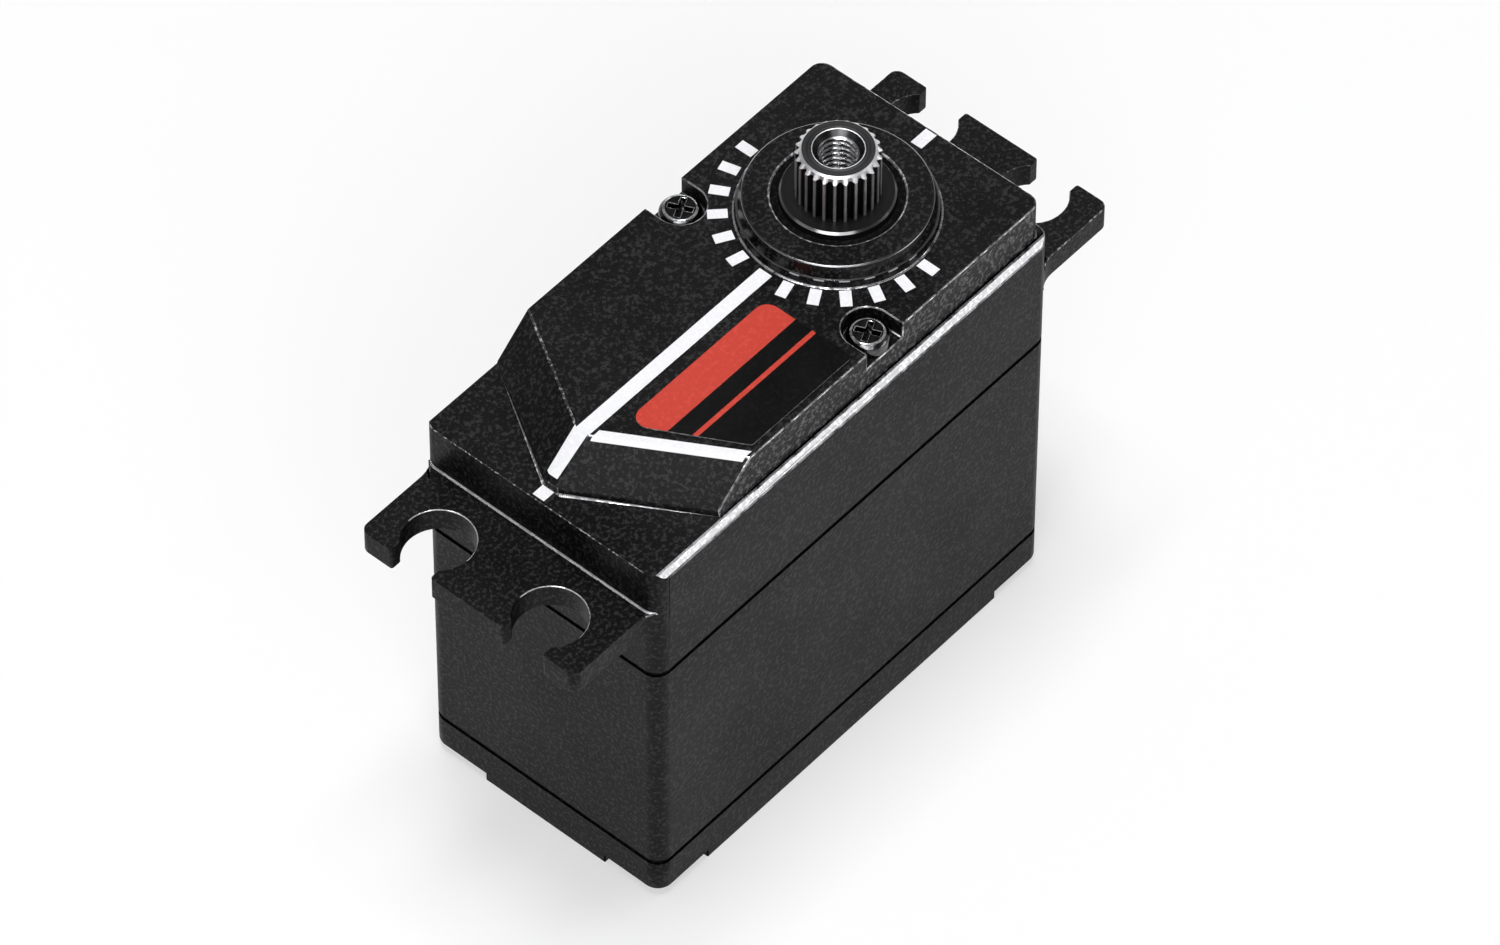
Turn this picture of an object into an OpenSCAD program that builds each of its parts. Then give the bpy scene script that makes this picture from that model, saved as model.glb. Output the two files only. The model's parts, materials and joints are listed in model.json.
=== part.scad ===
// Standard-size hobby servo: a three-part aluminium case, a brushless motor, a train of four spur gear
// stages and a splined output shaft between two ball bearings.
// Origin at the centre of the underside, +X towards the output shaft, +Z up, millimetres.

/* [Case] */
// Length of the case along X, without the flanges
case_l = 40.5; // [40.3:0.1:40.8]
// Width of the case along Y
case_w = 21; // [20.8:0.1:21.4]
// Radius of the upright corners
corner_r = 1.2; // [0.8:0.1:1.6]
// Thickness of the case walls
wall = 1.5; // [1.3:0.1:1.6]
// Height of the joint between the bottom cover and the middle case
lower_seam_z = 3.6; // [3.5:0.05:3.7]
// Height of the joint between the middle case and the upper case
upper_seam_z = 24.05; // [24:0.05:24.15]
// Height of the shoulder that runs round the platform
shoulder_z = 34.5; // [34.3:0.1:34.6]
// Height of the top of the raised platform
platform_z = 37.8; // [37.7:0.05:38]
// Thickness of the two gaskets
gasket_t = 0.25; // [0.2:0.05:0.3]
// How far the gaskets lie back from the outside of the case
gasket_inset = 0.12; // [0.05:0.01:0.2]
// Width of the bevel along the long edges of the shoulder
shoulder_bevel_w = 0.35; // [0.25:0.05:0.45]
// Height of that bevel
shoulder_bevel_h = 0.6; // [0.4:0.05:0.7]

/* [Platform] */
// Distance of the platform's sides from the case's sides
platform_side_inset = 0.6; // [0.55:0.05:0.75]
// Distance of the platform's end from the case's end, at the shaft
platform_end_inset = 0.45; // [0.4:0.05:0.6]
// Place of the point of the platform's top edge along X
nose_x = -16.15; // [-16.3:0.05:-15.9]
// Angle of each half of the pointed end to the Y axis
nose_angle = 31; // [29:1:32]
// Distance along X from the top edge of the slope to its foot
nose_run_x = 3.15; // [2.9:0.05:3.2]
// How much of the point is cut off square
nose_flat = 0.33; // [0.25:0.01:0.5]
// Height of the upright step at the foot of the slopes
nose_step = 0.65; // [0.4:0.05:0.8]

/* [Flanges] */
// Length over both flanges
flange_l = 55; // [54.8:0.1:55.4]
// Width of the flanges
flange_w = 19.2; // [19.1:0.1:19.4]
// Thickness of the flanges
flange_t = 2; // [1.9:0.1:2.2]
// Height of the top of the flanges
flange_top_z = 30.6; // [30.5:0.1:30.8]
// Distance between the hole rows along X
hole_spacing_x = 49.5; // [49.3:0.1:49.7]
// Distance between the holes along Y
hole_spacing_y = 10; // [9.8:0.1:10.2]
// Radius of the flange holes
hole_r = 2.6; // [2.5:0.05:2.65]
// Width of the slot from each hole to the edge
slot_w = 3.5; // [3.2:0.1:3.6]

/* [Output shaft] */
// Place of the shaft along X
shaft_x = 10.1; // [10:0.05:10.2]
// Radius of the boss at its foot
boss_r = 7.05; // [7:0.05:7.2]
// Radius of the boss at its top
boss_top_r = 6.55; // [6.4:0.05:6.6]
// Height of the boss over the platform
boss_h = 1.7; // [1.5:0.1:1.8]
// Radius of the hole in the boss
boss_hole_r = 4.6; // [4.5:0.05:4.7]
// Height of the shaft's neck over the boss
neck_rise = 0.4; // [0.3:0.1:0.6]
// Length of the spline
spline_l = 4.15; // [3.9:0.05:4.2]
// Outside radius of the spline
spline_r = 2.96; // [2.9:0.01:3]
// Number of spline teeth
spline_teeth = 25; // [23:1:25]
// Radius of the hole for the horn's M3 screw, at the tips of its thread
horn_thread_r = 1.25; // [1.2:0.01:1.3]
// Depth of the hole for the horn's screw
horn_thread_l = 9; // [7:0.5:9]
// Half of the shaft's travel, in degrees
half_travel = 90; // [80:1:90]

/* [Screws] */
// Place of the two upper screws along X
top_screw_x = 3.5; // [3.4:0.05:3.55]
// Distance of the two upper screws from the middle
top_screw_y = 8.35; // [8.3:0.05:8.4]
// Radius of the notches round the upper screws
notch_r = 1.82; // [1.76:0.02:1.86]
// Height of the floor of those notches
notch_z = 36.35; // [36.25:0.05:36.4]
// Place of the four long screws along X
case_screw_x = 18; // [17.9:0.05:18.1]
// Distance of the four long screws from the middle
case_screw_y = 8.3; // [8.2:0.05:8.35]
// Side of the cut-back corners under the bottom cover
corner_cut = 5; // [4.8:0.1:5.2]
// Depth of the cut-back corners
corner_cut_h = 0.7; // [0.6:0.05:0.8]

/* [Motor] */
// Radius of the motor
motor_r = 8.2; // [8:0.1:8.3]
// Length of the motor below the deck
motor_l = 13.9; // [13.6:0.1:14.1]
// Radius of the rotor's magnet
rotor_r = 3.3; // [3.1:0.1:3.4]

/* [Label] */
// Thickness of the label
label_t = 0.1; // [0.05:0.01:0.15]

/* [Hidden] */

$fn = 64;
cut = 1;                 // how far a cut runs past the face that it opens
run_gap = 0.03;          // running clearance of a bore on a pin
axial_gap = 0.05;        // play between parts that turn against each other

// Colours
black_anodised = "#2b2b2d";
rubber_black = "#151515";
steel = "#8d8f92";
dark_steel = "#4b4c4f";
brass = "#b8964a";
aluminium = "#b4b6b8";
copper = "#b06a35";
board_green = "#1f5a34";
chip_black = "#1c1c1e";
label_red = "#d6483c";

// Case
inner_l = case_l - 2 * wall;
inner_w = case_w - 2 * wall;
inner_r = 0.8;
cover_top = lower_seam_z - gasket_t / 2;
middle_z0 = lower_seam_z + gasket_t / 2;
deck_z = upper_seam_z - gasket_t / 2;
upper_z0 = upper_seam_z + gasket_t / 2;
deck_t = 2.8;
deck_z0 = deck_z - deck_t;
cover_floor = 2.6;
post_r = 2.2;
platform_l = case_l - 2 * platform_end_inset;
platform_w = case_w - 2 * platform_side_inset;
platform_corner_r = 1;
nose_h = platform_z - shoulder_z;
roof_t = 1.85;
roof_z = platform_z - roof_t;
shoulder_roof_z = shoulder_z - 1.6;
upper_room_x0 = -4.5;
upper_room_x1 = platform_l / 2 - wall;
upper_room_w = platform_w - 2 * wall;

// Flanges
flange_z0 = flange_top_z - flange_t;
flange_corner_r = 0.7;
slot_mouth_r = 0.2;
fillet_r = 2.5;
corner_at = [case_l / 2 - corner_r, case_w / 2 - corner_r];
fillet_y = flange_w / 2 + fillet_r;
fillet_at = [corner_at.x + sqrt(pow(corner_r + fillet_r, 2) - pow(fillet_y - corner_at.y, 2)), fillet_y];

// Screws
case_shank_r = 1;
case_head_r = 1.85;
case_head_h = 1.2;
case_head_z = 2.3;
case_screw_top = 30.3;
case_thread_top = 31;
top_shank_r = 0.8;
top_head_r = 1.5;
top_head_h = 1.1;
top_screw_end = deck_z0 - 2;
top_thread_end = top_screw_end - 0.4;
top_post_r = 1.4;
top_boss_r = 1.6;        // of the post under the deck that the screw threads into
notch_floor_r = 2.6;
notch_floor_t = 1.4;
screw_play = 0.12;
recess_w = 0.42;
recess_turn = 25;        // how far the cross of a screw's recess is turned
head_edge = 0.3;         // share of a screw head's height that its bevel takes
recess_reach = 1.2;      // length of the recess as a share of the head's radius
recess_depth = 0.6;      // its depth as a share of the head's height

// Gear train: teeth of each mesh, driver first, with the module of its teeth
motor_teeth = 9;
first_wheel_teeth = 46;
first_pinion_teeth = 11;
second_wheel_teeth = 39;
second_pinion_teeth = 16;
third_wheel_teeth = 34;
third_pinion_teeth = 11;
output_teeth = 29;
motor_mesh = 0.3;
middle_mesh = 0.4;
output_mesh = 0.5;
pressure_angle = 25;
addendum = 0.8;
dedendum = 1.05;
flank_relief = 0.035;    // taken off each tooth flank, so that the teeth run with play
flank_steps = 2;
pin_x = shaft_x - (first_pinion_teeth + second_wheel_teeth) * middle_mesh / 2;
motor_x = pin_x - (motor_teeth + first_wheel_teeth) * motor_mesh / 2;

// Levels of the gear train, from the deck up
first_wheel_z = deck_z + 0.35;
first_wheel_top = first_wheel_z + 1.4;
second_wheel_z = first_wheel_top + 0.3;
second_wheel_top = second_wheel_z + 1.8;
first_pinion_top = second_wheel_top + 0.3;
third_wheel_z = first_pinion_top + 0.3;
third_wheel_top = third_wheel_z + 2;
second_pinion_top = third_wheel_top + 0.2;
output_gear_z = second_pinion_top + 0.4;
output_gear_top = output_gear_z + 3.2;
third_pinion_top = output_gear_top + 0.2;
pin_boss_z = third_pinion_top + 0.45;
motor_pinion_z = deck_z + 0.2;
motor_pinion_top = first_wheel_top + 0.3;

pin_r = 1;
pin_z0 = deck_z - 2.2;
pin_top = roof_z + 1;
pin_boss_r = 2.2;
washer_r = 1.9;
first_hub_r = 1.6;
second_hub_r = 2.6;
third_hub_r = 2.05;

// Output shaft and its bearings
journal_r = 4;
shoulder_r = 4.5;
gear_seat_r = 3.3;
gear_seat_flat = 2.8;    // distance of the two flats of the gear seat from the axis
lower_r = 2;
spacer_t = 0.5;
boss_top_z = platform_z + boss_h;
neck_z = boss_top_z + neck_rise;
spline_top = neck_z + spline_l;
spline_root_r = spline_r - 0.32;
spline_root_share = 0.38; // half of a spline tooth at its root, as a share of the pitch
spline_tip_share = 0.15;  // the same at its tip
spline_chamfer = 0.3;
thread_mouth_r = 1.8;
neck_chamfer = 0.12;
shaft_z0 = deck_z0 - 1;
magnet_r = 1.4;
magnet_h = 1.5;
magnet_rise = 0.1;
upper_race_r = 6;
upper_race_w = 2.5;
upper_race_top = platform_z + 0.05;
upper_race_z = upper_race_top - upper_race_w;
upper_ball_r = 0.6;
upper_balls = 10;
lower_race_r = 3.5;
lower_race_w = 2;
lower_race_z = deck_z - lower_race_w;
lower_lip = 0.7;
lower_ball_r = 0.38;
lower_balls = 8;
upper_ball_ring = (upper_race_r + journal_r) / 2;
lower_ball_ring = (lower_race_r + lower_r) / 2;
race_gap = 0.06;         // clearance of the balls in their grooves
race_land = 0.5;         // share of a ball's radius between the ring and the balls' centres
seat_ring_r = 7.2;
seat_ring_z = upper_race_z - 0.1;
seal_gap = 0.05;
seal_drop = 0.2;

// Stops: a lug on the output gear and two blocks in the upper case
lug_half = 9;
lug_r = [5.9, 6.6];
lug_h = 0.8;
stop_half = 5;
stop_play = 0.6;
stop_r = [6.1, 7.1];
stop_z = output_gear_top + 0.3;
stop_angle = half_travel + lug_half + stop_play + stop_half;

// Motor
motor_z1 = deck_z0;
motor_z0 = motor_z1 - motor_l;
motor_cap_t = 1.4;
rotor_gap = 0.25;
can_t = 0.5;
motor_shaft_r = 0.75;
motor_hole_gap = 0.25;
motor_boss_r = 3;
motor_boss_h = 0.8;
motor_bearing_r = 2;
motor_bearing_w = 1;
motor_screw_y = 5.2;
motor_screw_r = 0.8;
motor_head_r = 1.5;
motor_head_h = 1;
motor_screw_end = motor_z1 - 1.1;
core_z = [motor_z0 + 3, motor_z1 - 3.6];
core_ring_r = 6.6;
core_teeth = 6;
core_tooth_w = 1.6;
core_face_r = rotor_r + rotor_gap;
core_shoe_t = 0.6;
core_shoe_half = 22;
coil_w = 3.4;
coil_over = 0.8;
coil_r = [4.3, 6.3];
magnet_over = 0.4;
lead_r = 0.35;
lead_ring_r = 5.5;
lead_step = 40;

// Electronics
board_z = 4.6;
board_t = 0.8;
board_l = 35.6;
board_w = 17;
board_gap = 0.3;
board_post_r = 0.9;
board_post_at = [13, 6];
chip_h = 1;
// Each chip: place and size on the board
chips = [[[11.5, -4.6], [6, 5.6]], [[11.5, 4.4], [4.5, 3.6]], [[4.8, 0], [3, 4]],
         [[4.4, 5.6], [3, 3]], [[4.4, -5.6], [3, 3]], [[0.2, 0], [2.4, 5]]];
sensor_gap = 0.35;
sensor_chip_t = 0.8;
sensor_chip_w = 3.2;
sensor_board_l = 9.6;
sensor_board_w = 14;
sensor_top = shaft_z0 - magnet_rise - sensor_gap - sensor_chip_t;
sensor_screw_y = 5.4;
sensor_screw_r = 0.6;
sensor_head_r = 1.1;
sensor_head_h = 0.7;
sensor_post_r = 1.3;
sensor_thread_top = deck_z0 + 0.4;
sensor_lead_x = 13.6;
sensor_lead_t = 0.3;
sensor_lead_w = 3;

// Inlet of the lead
inlet_z = [4.4, 7];
inlet_w = 5.8;
inlet_lip = 0.7;
inlet_lip_t = 0.8;
lead_slot = [4, 1.4];

// Label: outline on the platform, with its slanted end along the platform's point
label_y = [-1.85, -9.1];
label_x1 = 0.8;
label_x0 = -12.2;
label_slant = 0.55;
label_corner_r = 1;      // at the two corners near the middle
label_side_r = 0.35;     // at the two corners near the side
label_facets = 32;

// Plain shapes

module round_rect(l, w, r) {
  square([l - 2 * r, w], center = true);
  square([l, w - 2 * r], center = true);
  for (sx = [-1, 1], sy = [-1, 1])
    translate([sx * (l / 2 - r), sy * (w / 2 - r)]) circle(r);
}

module slab(l, w, r, z0, z1) {
  translate([0, 0, z0]) linear_extrude(z1 - z0) round_rect(l, w, r);
}

module rod(r, z0, z1) {
  translate([0, 0, z0]) cylinder(r = r, h = z1 - z0);
}

module tube(r_out, r_in, z0, z1) {
  difference() {
    rod(r_out, z0, z1);
    rod(r_in, z0 - cut, z1 + cut);
  }
}

module box(size, z0, z1) {
  translate([-size.x / 2, -size.y / 2, z0]) cube([size.x, size.y, z1 - z0]);
}

// Part of a ring between two radii, half_angle each side of the +X direction
module ring_sector(r, half_angle, z0, z1) {
  reach = 2 * r[1];
  translate([0, 0, z0]) linear_extrude(z1 - z0) intersection() {
    difference() {
      circle(r[1]);
      circle(r[0]);
    }
    polygon([[0, 0], reach * [cos(half_angle), -sin(half_angle)],
             reach * [cos(half_angle), sin(half_angle)]]);
  }
}

module at_shaft() translate([shaft_x, 0, 0]) children();
module at_pin() translate([pin_x, 0, 0]) children();
module at_motor() translate([motor_x, 0, 0]) children();

module at_case_screws() {
  for (sx = [-1, 1], sy = [-1, 1]) translate([sx * case_screw_x, sy * case_screw_y, 0]) children();
}

module at_top_screws() {
  for (sy = [-1, 1]) translate([top_screw_x, sy * top_screw_y, 0]) children();
}

module at_motor_screws() {
  at_motor() for (sy = [-1, 1]) translate([0, sy * motor_screw_y, 0]) children();
}

module at_sensor_screws() {
  at_shaft() for (sy = [-1, 1]) translate([0, sy * sensor_screw_y, 0]) children();
}

// A screw along +Z: pan head with a cross recess, on top of its seat
module pan_screw(shank_r, head_r, head_h, seat_z, end_z) {
  edge = head_edge * head_h;
  recess_l = recess_reach * head_r;
  recess_d = recess_depth * head_h;
  difference() {
    union() {
      rod(shank_r, end_z, seat_z);
      rod(head_r, seat_z, seat_z + head_h - edge);
      translate([0, 0, seat_z + head_h - edge]) cylinder(r1 = head_r, r2 = head_r - edge, h = edge);
    }
    for (a = [0, 90]) rotate(a + recess_turn)
      box([recess_l, recess_w], seat_z + head_h - recess_d, seat_z + head_h + cut);
  }
}

// Gear teeth

function involute(a) = tan(a) * 180 / PI - a;

// Half of a tooth's width at radius r, as an angle
function tooth_half(r, n, m) =
  let (pitch_r = n * m / 2, base_r = pitch_r * cos(pressure_angle))
  90 / n - flank_relief / pitch_r * 180 / PI + involute(pressure_angle)
    - involute(acos(min(1, base_r / r)));

// Points [radius, half angle] from the root of a tooth to its tip
function tooth_flank(n, m) =
  let (
    pitch_r = n * m / 2,
    base_r = pitch_r * cos(pressure_angle),
    root_r = pitch_r - dedendum * m,
    tip_r = pitch_r + addendum * m,
    from_r = max(base_r, root_r)
  )
  concat(
    root_r < base_r ? [[root_r, tooth_half(from_r, n, m)]] : [],
    [for (i = [0 : flank_steps])
      let (r = from_r + (tip_r - from_r) * i / flank_steps) [r, tooth_half(r, n, m)]]
  );

function gear_outline(n, m, phase) =
  let (flank = tooth_flank(n, m), last = len(flank) - 1)
  [for (k = [0 : n - 1], side = [-1, 1], i = [0 : last])
    let (p = flank[side < 0 ? i : last - i], a = phase + k * 360 / n + side * p[1])
    p[0] * [cos(a), sin(a)]];

// Toothed disc with a tooth at the angle phase
module toothed(n, m, phase, z0, z1) {
  translate([0, 0, z0]) linear_extrude(z1 - z0) polygon(gear_outline(n, m, phase));
}

// A wheel with a space, not a tooth, at the angle that faces its driver
module wheel(n, m, facing, bore_r, z0, z1) {
  difference() {
    toothed(n, m, facing + 180 / n, z0, z1);
    rod(bore_r, z0 - cut, z1 + cut);
  }
}

// A pinion on a round hub that carries its wheel
module pinion_on_hub(n, m, hub_r, bore_r, hub_z, z0, z1) {
  difference() {
    union() {
      rod(hub_r, hub_z, z0);
      toothed(n, m, 0, z0, z1);
    }
    rod(bore_r, hub_z - cut, z1 + cut);
  }
}

// Case

module flange_plan() {
  inside = case_l / 2 - wall;
  difference() {
    union() {
      translate([inside, -flange_w / 2]) square([flange_l / 2 - flange_corner_r - inside, flange_w]);
      translate([inside, -flange_w / 2 + flange_corner_r])
        square([flange_l / 2 - inside, flange_w - 2 * flange_corner_r]);
      for (sy = [-1, 1]) {
        translate([flange_l / 2 - flange_corner_r, sy * (flange_w / 2 - flange_corner_r)])
          circle(flange_corner_r);
        scale([1, sy]) difference() {
          polygon([corner_at, [fillet_at.x, corner_at.y], fillet_at]);
          translate(fillet_at) circle(fillet_r);
        }
      }
    }
    for (sy = [-1, 1]) translate([hole_spacing_x / 2, sy * hole_spacing_y / 2]) slotted_hole();
  }
}

// A round hole, open to the flange's edge through a slot with rounded lips
module slotted_hole() {
  to_edge = (flange_l - hole_spacing_x) / 2;
  circle(hole_r);
  translate([0, -slot_w / 2]) square([to_edge + cut, slot_w]);
  translate([to_edge - slot_mouth_r, 0]) difference() {
    translate([0, -slot_w / 2 - slot_mouth_r]) square([slot_mouth_r + cut, slot_w + 2 * slot_mouth_r]);
    for (sy = [-1, 1]) translate([0, sy * (slot_w / 2 + slot_mouth_r)]) circle(slot_mouth_r);
  }
}

// All that lies past one slope of the pointed end
module past_slope(turn, back) {
  run = nose_run_x * cos(turn);
  drop = nose_h - nose_step;
  depth = nose_h + cut;
  translate([nose_x + back, 0, platform_z]) rotate([0, 0, 180 + turn]) rotate([90, 0, 0])
    linear_extrude(2 * case_w, center = true)
      polygon([[-cut * run / drop, cut], [run, -drop], [run, -depth], [case_w, -depth], [case_w, cut]]);
}

module platform() {
  difference() {
    slab(platform_l, platform_w, platform_corner_r, shoulder_z - cut, platform_z);
    for (s = [-1, 1]) past_slope(s * nose_angle, 0);
    past_slope(0, nose_flat);
  }
}

module shaft_boss() {
  at_shaft() translate([0, 0, platform_z]) cylinder(r1 = boss_r, r2 = boss_top_r, h = boss_h);
}

// What is cut off the long edges of the shoulder
module shoulder_bevels() {
  lean = shoulder_bevel_w / shoulder_bevel_h;
  inside = shoulder_bevel_w + cut * lean;
  below = shoulder_bevel_h + cut / lean;
  for (sy = [-1, 1]) translate([0, sy * case_w / 2, shoulder_z]) rotate([90, 0, 90])
    linear_extrude(case_l + 2 * cut, center = true)
      polygon([[sy * cut, cut], [-sy * inside, cut], [sy * cut, -below]]);
}

// The space for the gears, without what stands in it
module gear_room() {
  difference() {
    union() {
      slab(inner_l, inner_w, inner_r, upper_z0 - cut, shoulder_roof_z);
      translate([upper_room_x0, -upper_room_w / 2, upper_z0])
        cube([upper_room_x1 - upper_room_x0, upper_room_w, roof_z - upper_z0]);
    }
    at_case_screws() rod(post_r, upper_z0 - 2 * cut, platform_z);
    at_top_screws() {
      rod(top_post_r, upper_z0 - 2 * cut, platform_z);
      rod(notch_floor_r, notch_z - notch_floor_t, platform_z);
    }
    at_pin() rod(pin_boss_r, pin_boss_z, platform_z);
    at_shaft() {
      tube(seat_ring_r, upper_race_r, seat_ring_z, platform_z);
      for (s = [-1, 1]) rotate(s * stop_angle) ring_sector(stop_r, stop_half, stop_z, platform_z);
    }
  }
}

module upper_case() {
  color(black_anodised) difference() {
    union() {
      difference() {
        slab(case_l, case_w, corner_r, upper_z0, shoulder_z);
        shoulder_bevels();
      }
      for (turn = [0, 180]) rotate(turn)
        translate([0, 0, flange_z0]) linear_extrude(flange_t) flange_plan();
      platform();
      shaft_boss();
    }
    gear_room();
    at_shaft() {
      rod(upper_race_r, roof_z - cut, upper_race_top);
      rod(upper_ball_ring, roof_z, upper_race_top + axial_gap);
      rod(boss_hole_r, roof_z, boss_top_z + cut);
    }
    at_pin() rod(pin_r, pin_boss_z - cut, pin_top);
    at_top_screws() rod(top_shank_r + screw_play, upper_z0 - cut, platform_z + cut);
    for (sy = [-1, 1]) translate([top_screw_x, sy * top_screw_y, 0]) {
      rod(notch_r, notch_z, platform_z + cut);
      translate([-notch_r, sy > 0 ? 0 : -case_w / 2, notch_z])
        cube([2 * notch_r, case_w / 2, platform_z + cut - notch_z]);
    }
    at_case_screws() rod(case_shank_r, upper_z0 - cut, case_thread_top);
  }
}

module middle_case() {
  color(black_anodised) difference() {
    slab(case_l, case_w, corner_r, middle_z0, deck_z);
    difference() {
      slab(inner_l, inner_w, inner_r, middle_z0 - cut, deck_z0);
      at_case_screws() rod(post_r, middle_z0 - 2 * cut, deck_z);
      at_top_screws() rod(top_boss_r, top_thread_end - cut, deck_z);
      at_sensor_screws() rod(sensor_post_r, sensor_top, deck_z);
    }
    at_case_screws() rod(case_shank_r + screw_play, middle_z0 - cut, deck_z + cut);
    at_top_screws() rod(top_shank_r, top_thread_end, deck_z + cut);
    at_sensor_screws() rod(sensor_screw_r, sensor_top - cut, sensor_thread_top);
    at_shaft() {
      rod(lower_race_r, lower_race_z, deck_z + cut);
      rod(lower_race_r - lower_lip, deck_z0 - cut, deck_z);
    }
    at_pin() rod(pin_r, pin_z0, deck_z + cut);
    at_motor() rod(motor_boss_r, deck_z0 - cut, deck_z + cut);
    at_motor_screws() {
      rod(motor_screw_r + screw_play, deck_z0 - cut, deck_z);
      rod(motor_head_r + screw_play, deck_z - motor_head_h, deck_z + cut);
    }
    translate([case_l / 2 - wall - cut, -inlet_w / 2, inlet_z[0]])
      cube([wall + 2 * cut, inlet_w, inlet_z[1] - inlet_z[0]]);
  }
}

module bottom_cover() {
  color(black_anodised) difference() {
    slab(case_l, case_w, corner_r, 0, cover_top);
    for (sx = [-1, 1], sy = [-1, 1]) translate([sx * case_l / 2, sy * case_w / 2, 0])
      box(2 * [corner_cut, corner_cut], -cut, corner_cut_h);
    difference() {
      slab(inner_l, inner_w, inner_r, cover_floor, cover_top + cut);
      at_case_screws() rod(post_r, cover_floor - cut, cover_top + 2 * cut);
      for (sx = [-1, 1], sy = [-1, 1]) translate([sx * board_post_at.x, sy * board_post_at.y, 0])
        rod(board_post_r, cover_floor - cut, cover_top + 2 * cut);
    }
    at_case_screws() {
      rod(case_head_r + screw_play, -cut, case_head_z);
      rod(case_shank_r + screw_play, 0, cover_top + cut);
    }
  }
  color(black_anodised) for (sx = [-1, 1], sy = [-1, 1])
    translate([sx * board_post_at.x, sy * board_post_at.y, 0]) rod(board_post_r, cover_floor, board_z);
}

module gasket(z0) {
  side = wall + gasket_inset;
  color(rubber_black) difference() {
    slab(case_l - 2 * gasket_inset, case_w - 2 * gasket_inset, corner_r - gasket_inset, z0, z0 + gasket_t);
    slab(case_l - 2 * side, case_w - 2 * side, inner_r, z0 - cut, z0 + gasket_t + cut);
    at_case_screws() rod(case_shank_r + screw_play, z0 - cut, z0 + gasket_t + cut);
    at_top_screws() rod(top_shank_r + screw_play, z0 - cut, z0 + gasket_t + cut);
  }
}

module upper_gasket() gasket(deck_z);
module lower_gasket() gasket(cover_top);

module case_screws() {
  color(dark_steel) at_case_screws() mirror([0, 0, 1])
    pan_screw(case_shank_r, case_head_r, case_head_h, -case_head_z, -case_screw_top);
}

module top_screws() {
  color(dark_steel) at_top_screws()
    pan_screw(top_shank_r, top_head_r, top_head_h, notch_z, top_screw_end);
}

module top_label() {
  near_y = label_y[0] - label_corner_r;
  far_y = label_y[1] + label_side_r;
  slanted_x = label_x0 + label_side_r + label_slant * (label_y[0] - label_y[1] - label_corner_r);
  corners = [
    [label_x0 + label_corner_r, near_y, label_corner_r], [label_x1 - label_corner_r, near_y, label_corner_r],
    [label_x1 - label_side_r, far_y, label_side_r], [slanted_x, far_y, label_side_r]];
  color(label_red) translate([0, 0, platform_z]) linear_extrude(label_t) hull()
    for (c = corners) translate([c.x, c.y]) circle(c.z, $fn = label_facets);
}

module lead_grommet() {
  height = inlet_z[1] - inlet_z[0];
  color(rubber_black) translate([case_l / 2 - wall, 0, inlet_z[0] + height / 2]) rotate([90, 0, 90])
    difference() {
      union() {
        translate([-inlet_w / 2, -height / 2, 0]) cube([inlet_w, height, wall]);
        translate([-inlet_w / 2 - inlet_lip, -height / 2, -inlet_lip_t])
          cube([inlet_w + 2 * inlet_lip, height + inlet_lip, inlet_lip_t]);
      }
      translate([-lead_slot.x / 2, -lead_slot.y / 2, -cut - inlet_lip_t])
        cube([lead_slot.x, lead_slot.y, wall + inlet_lip_t + 2 * cut]);
    }
}

// Output shaft

function spline_outline() =
  let (
    pitch = 360 / spline_teeth,
    root_half = spline_root_share * pitch,
    tip_half = spline_tip_share * pitch
  )
  [for (k = [0 : spline_teeth - 1],
        p = [[spline_root_r, -root_half], [spline_r, -tip_half],
             [spline_r, tip_half], [spline_root_r, root_half]])
    p[0] * [cos(k * pitch + p[1]), sin(k * pitch + p[1])]];

module spline() {
  cone_z = spline_top - spline_chamfer - cut;
  intersection() {
    translate([0, 0, neck_z]) linear_extrude(spline_l) polygon(spline_outline());
    union() {
      rod(spline_r + cut, neck_z - cut, cone_z);
      translate([0, 0, cone_z])
        cylinder(r1 = spline_r + cut, r2 = spline_r - spline_chamfer, h = spline_top - cone_z);
    }
  }
}

// The seat that carries the output gear, round with two flats
module gear_seat(z0, z1) {
  intersection() {
    rod(gear_seat_r, z0, z1);
    box([2 * gear_seat_flat, 2 * gear_seat_r], z0, z1);
  }
}

module output_shaft() {
  color(dark_steel) at_shaft() difference() {
    union() {
      rod(lower_r, shaft_z0, output_gear_z);
      gear_seat(output_gear_z, output_gear_top);
      rod(shoulder_r, output_gear_top, upper_race_z);
      rod(journal_r, upper_race_z, neck_z - neck_chamfer);
      translate([0, 0, neck_z - neck_chamfer])
        cylinder(r1 = journal_r, r2 = journal_r - neck_chamfer, h = neck_chamfer);
      spline();
    }
    rod(horn_thread_r, spline_top - horn_thread_l, spline_top + cut);
    translate([0, 0, spline_top - thread_mouth_r + horn_thread_r])
      cylinder(r1 = horn_thread_r, r2 = thread_mouth_r + cut, h = thread_mouth_r + cut - horn_thread_r);
    rod(magnet_r, shaft_z0 - cut, shaft_z0 + magnet_h - magnet_rise);
  }
}

module output_gear() {
  color(steel) at_shaft() {
    difference() {
      union() {
        toothed(output_teeth, output_mesh, 180 + 180 / output_teeth, output_gear_z, output_gear_top);
        ring_sector(lug_r, lug_half, output_gear_top - cut, output_gear_top + lug_h);
      }
      gear_seat(output_gear_z - cut, output_gear_top + cut);
    }
  }
}

module shaft_spacer() {
  color(brass) at_shaft() tube(lower_r + spacer_t, lower_r, deck_z + axial_gap, second_wheel_z - axial_gap);
}

module sensor_magnet() {
  color(steel) at_shaft() rod(magnet_r, shaft_z0 - magnet_rise, shaft_z0 - magnet_rise + magnet_h);
}

module shaft_seal() {
  color(rubber_black) at_shaft()
    tube(boss_hole_r, journal_r + seal_gap, upper_race_top + axial_gap, boss_top_z - seal_drop);
}

// Bearings: rings with a groove that clears the balls

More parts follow.
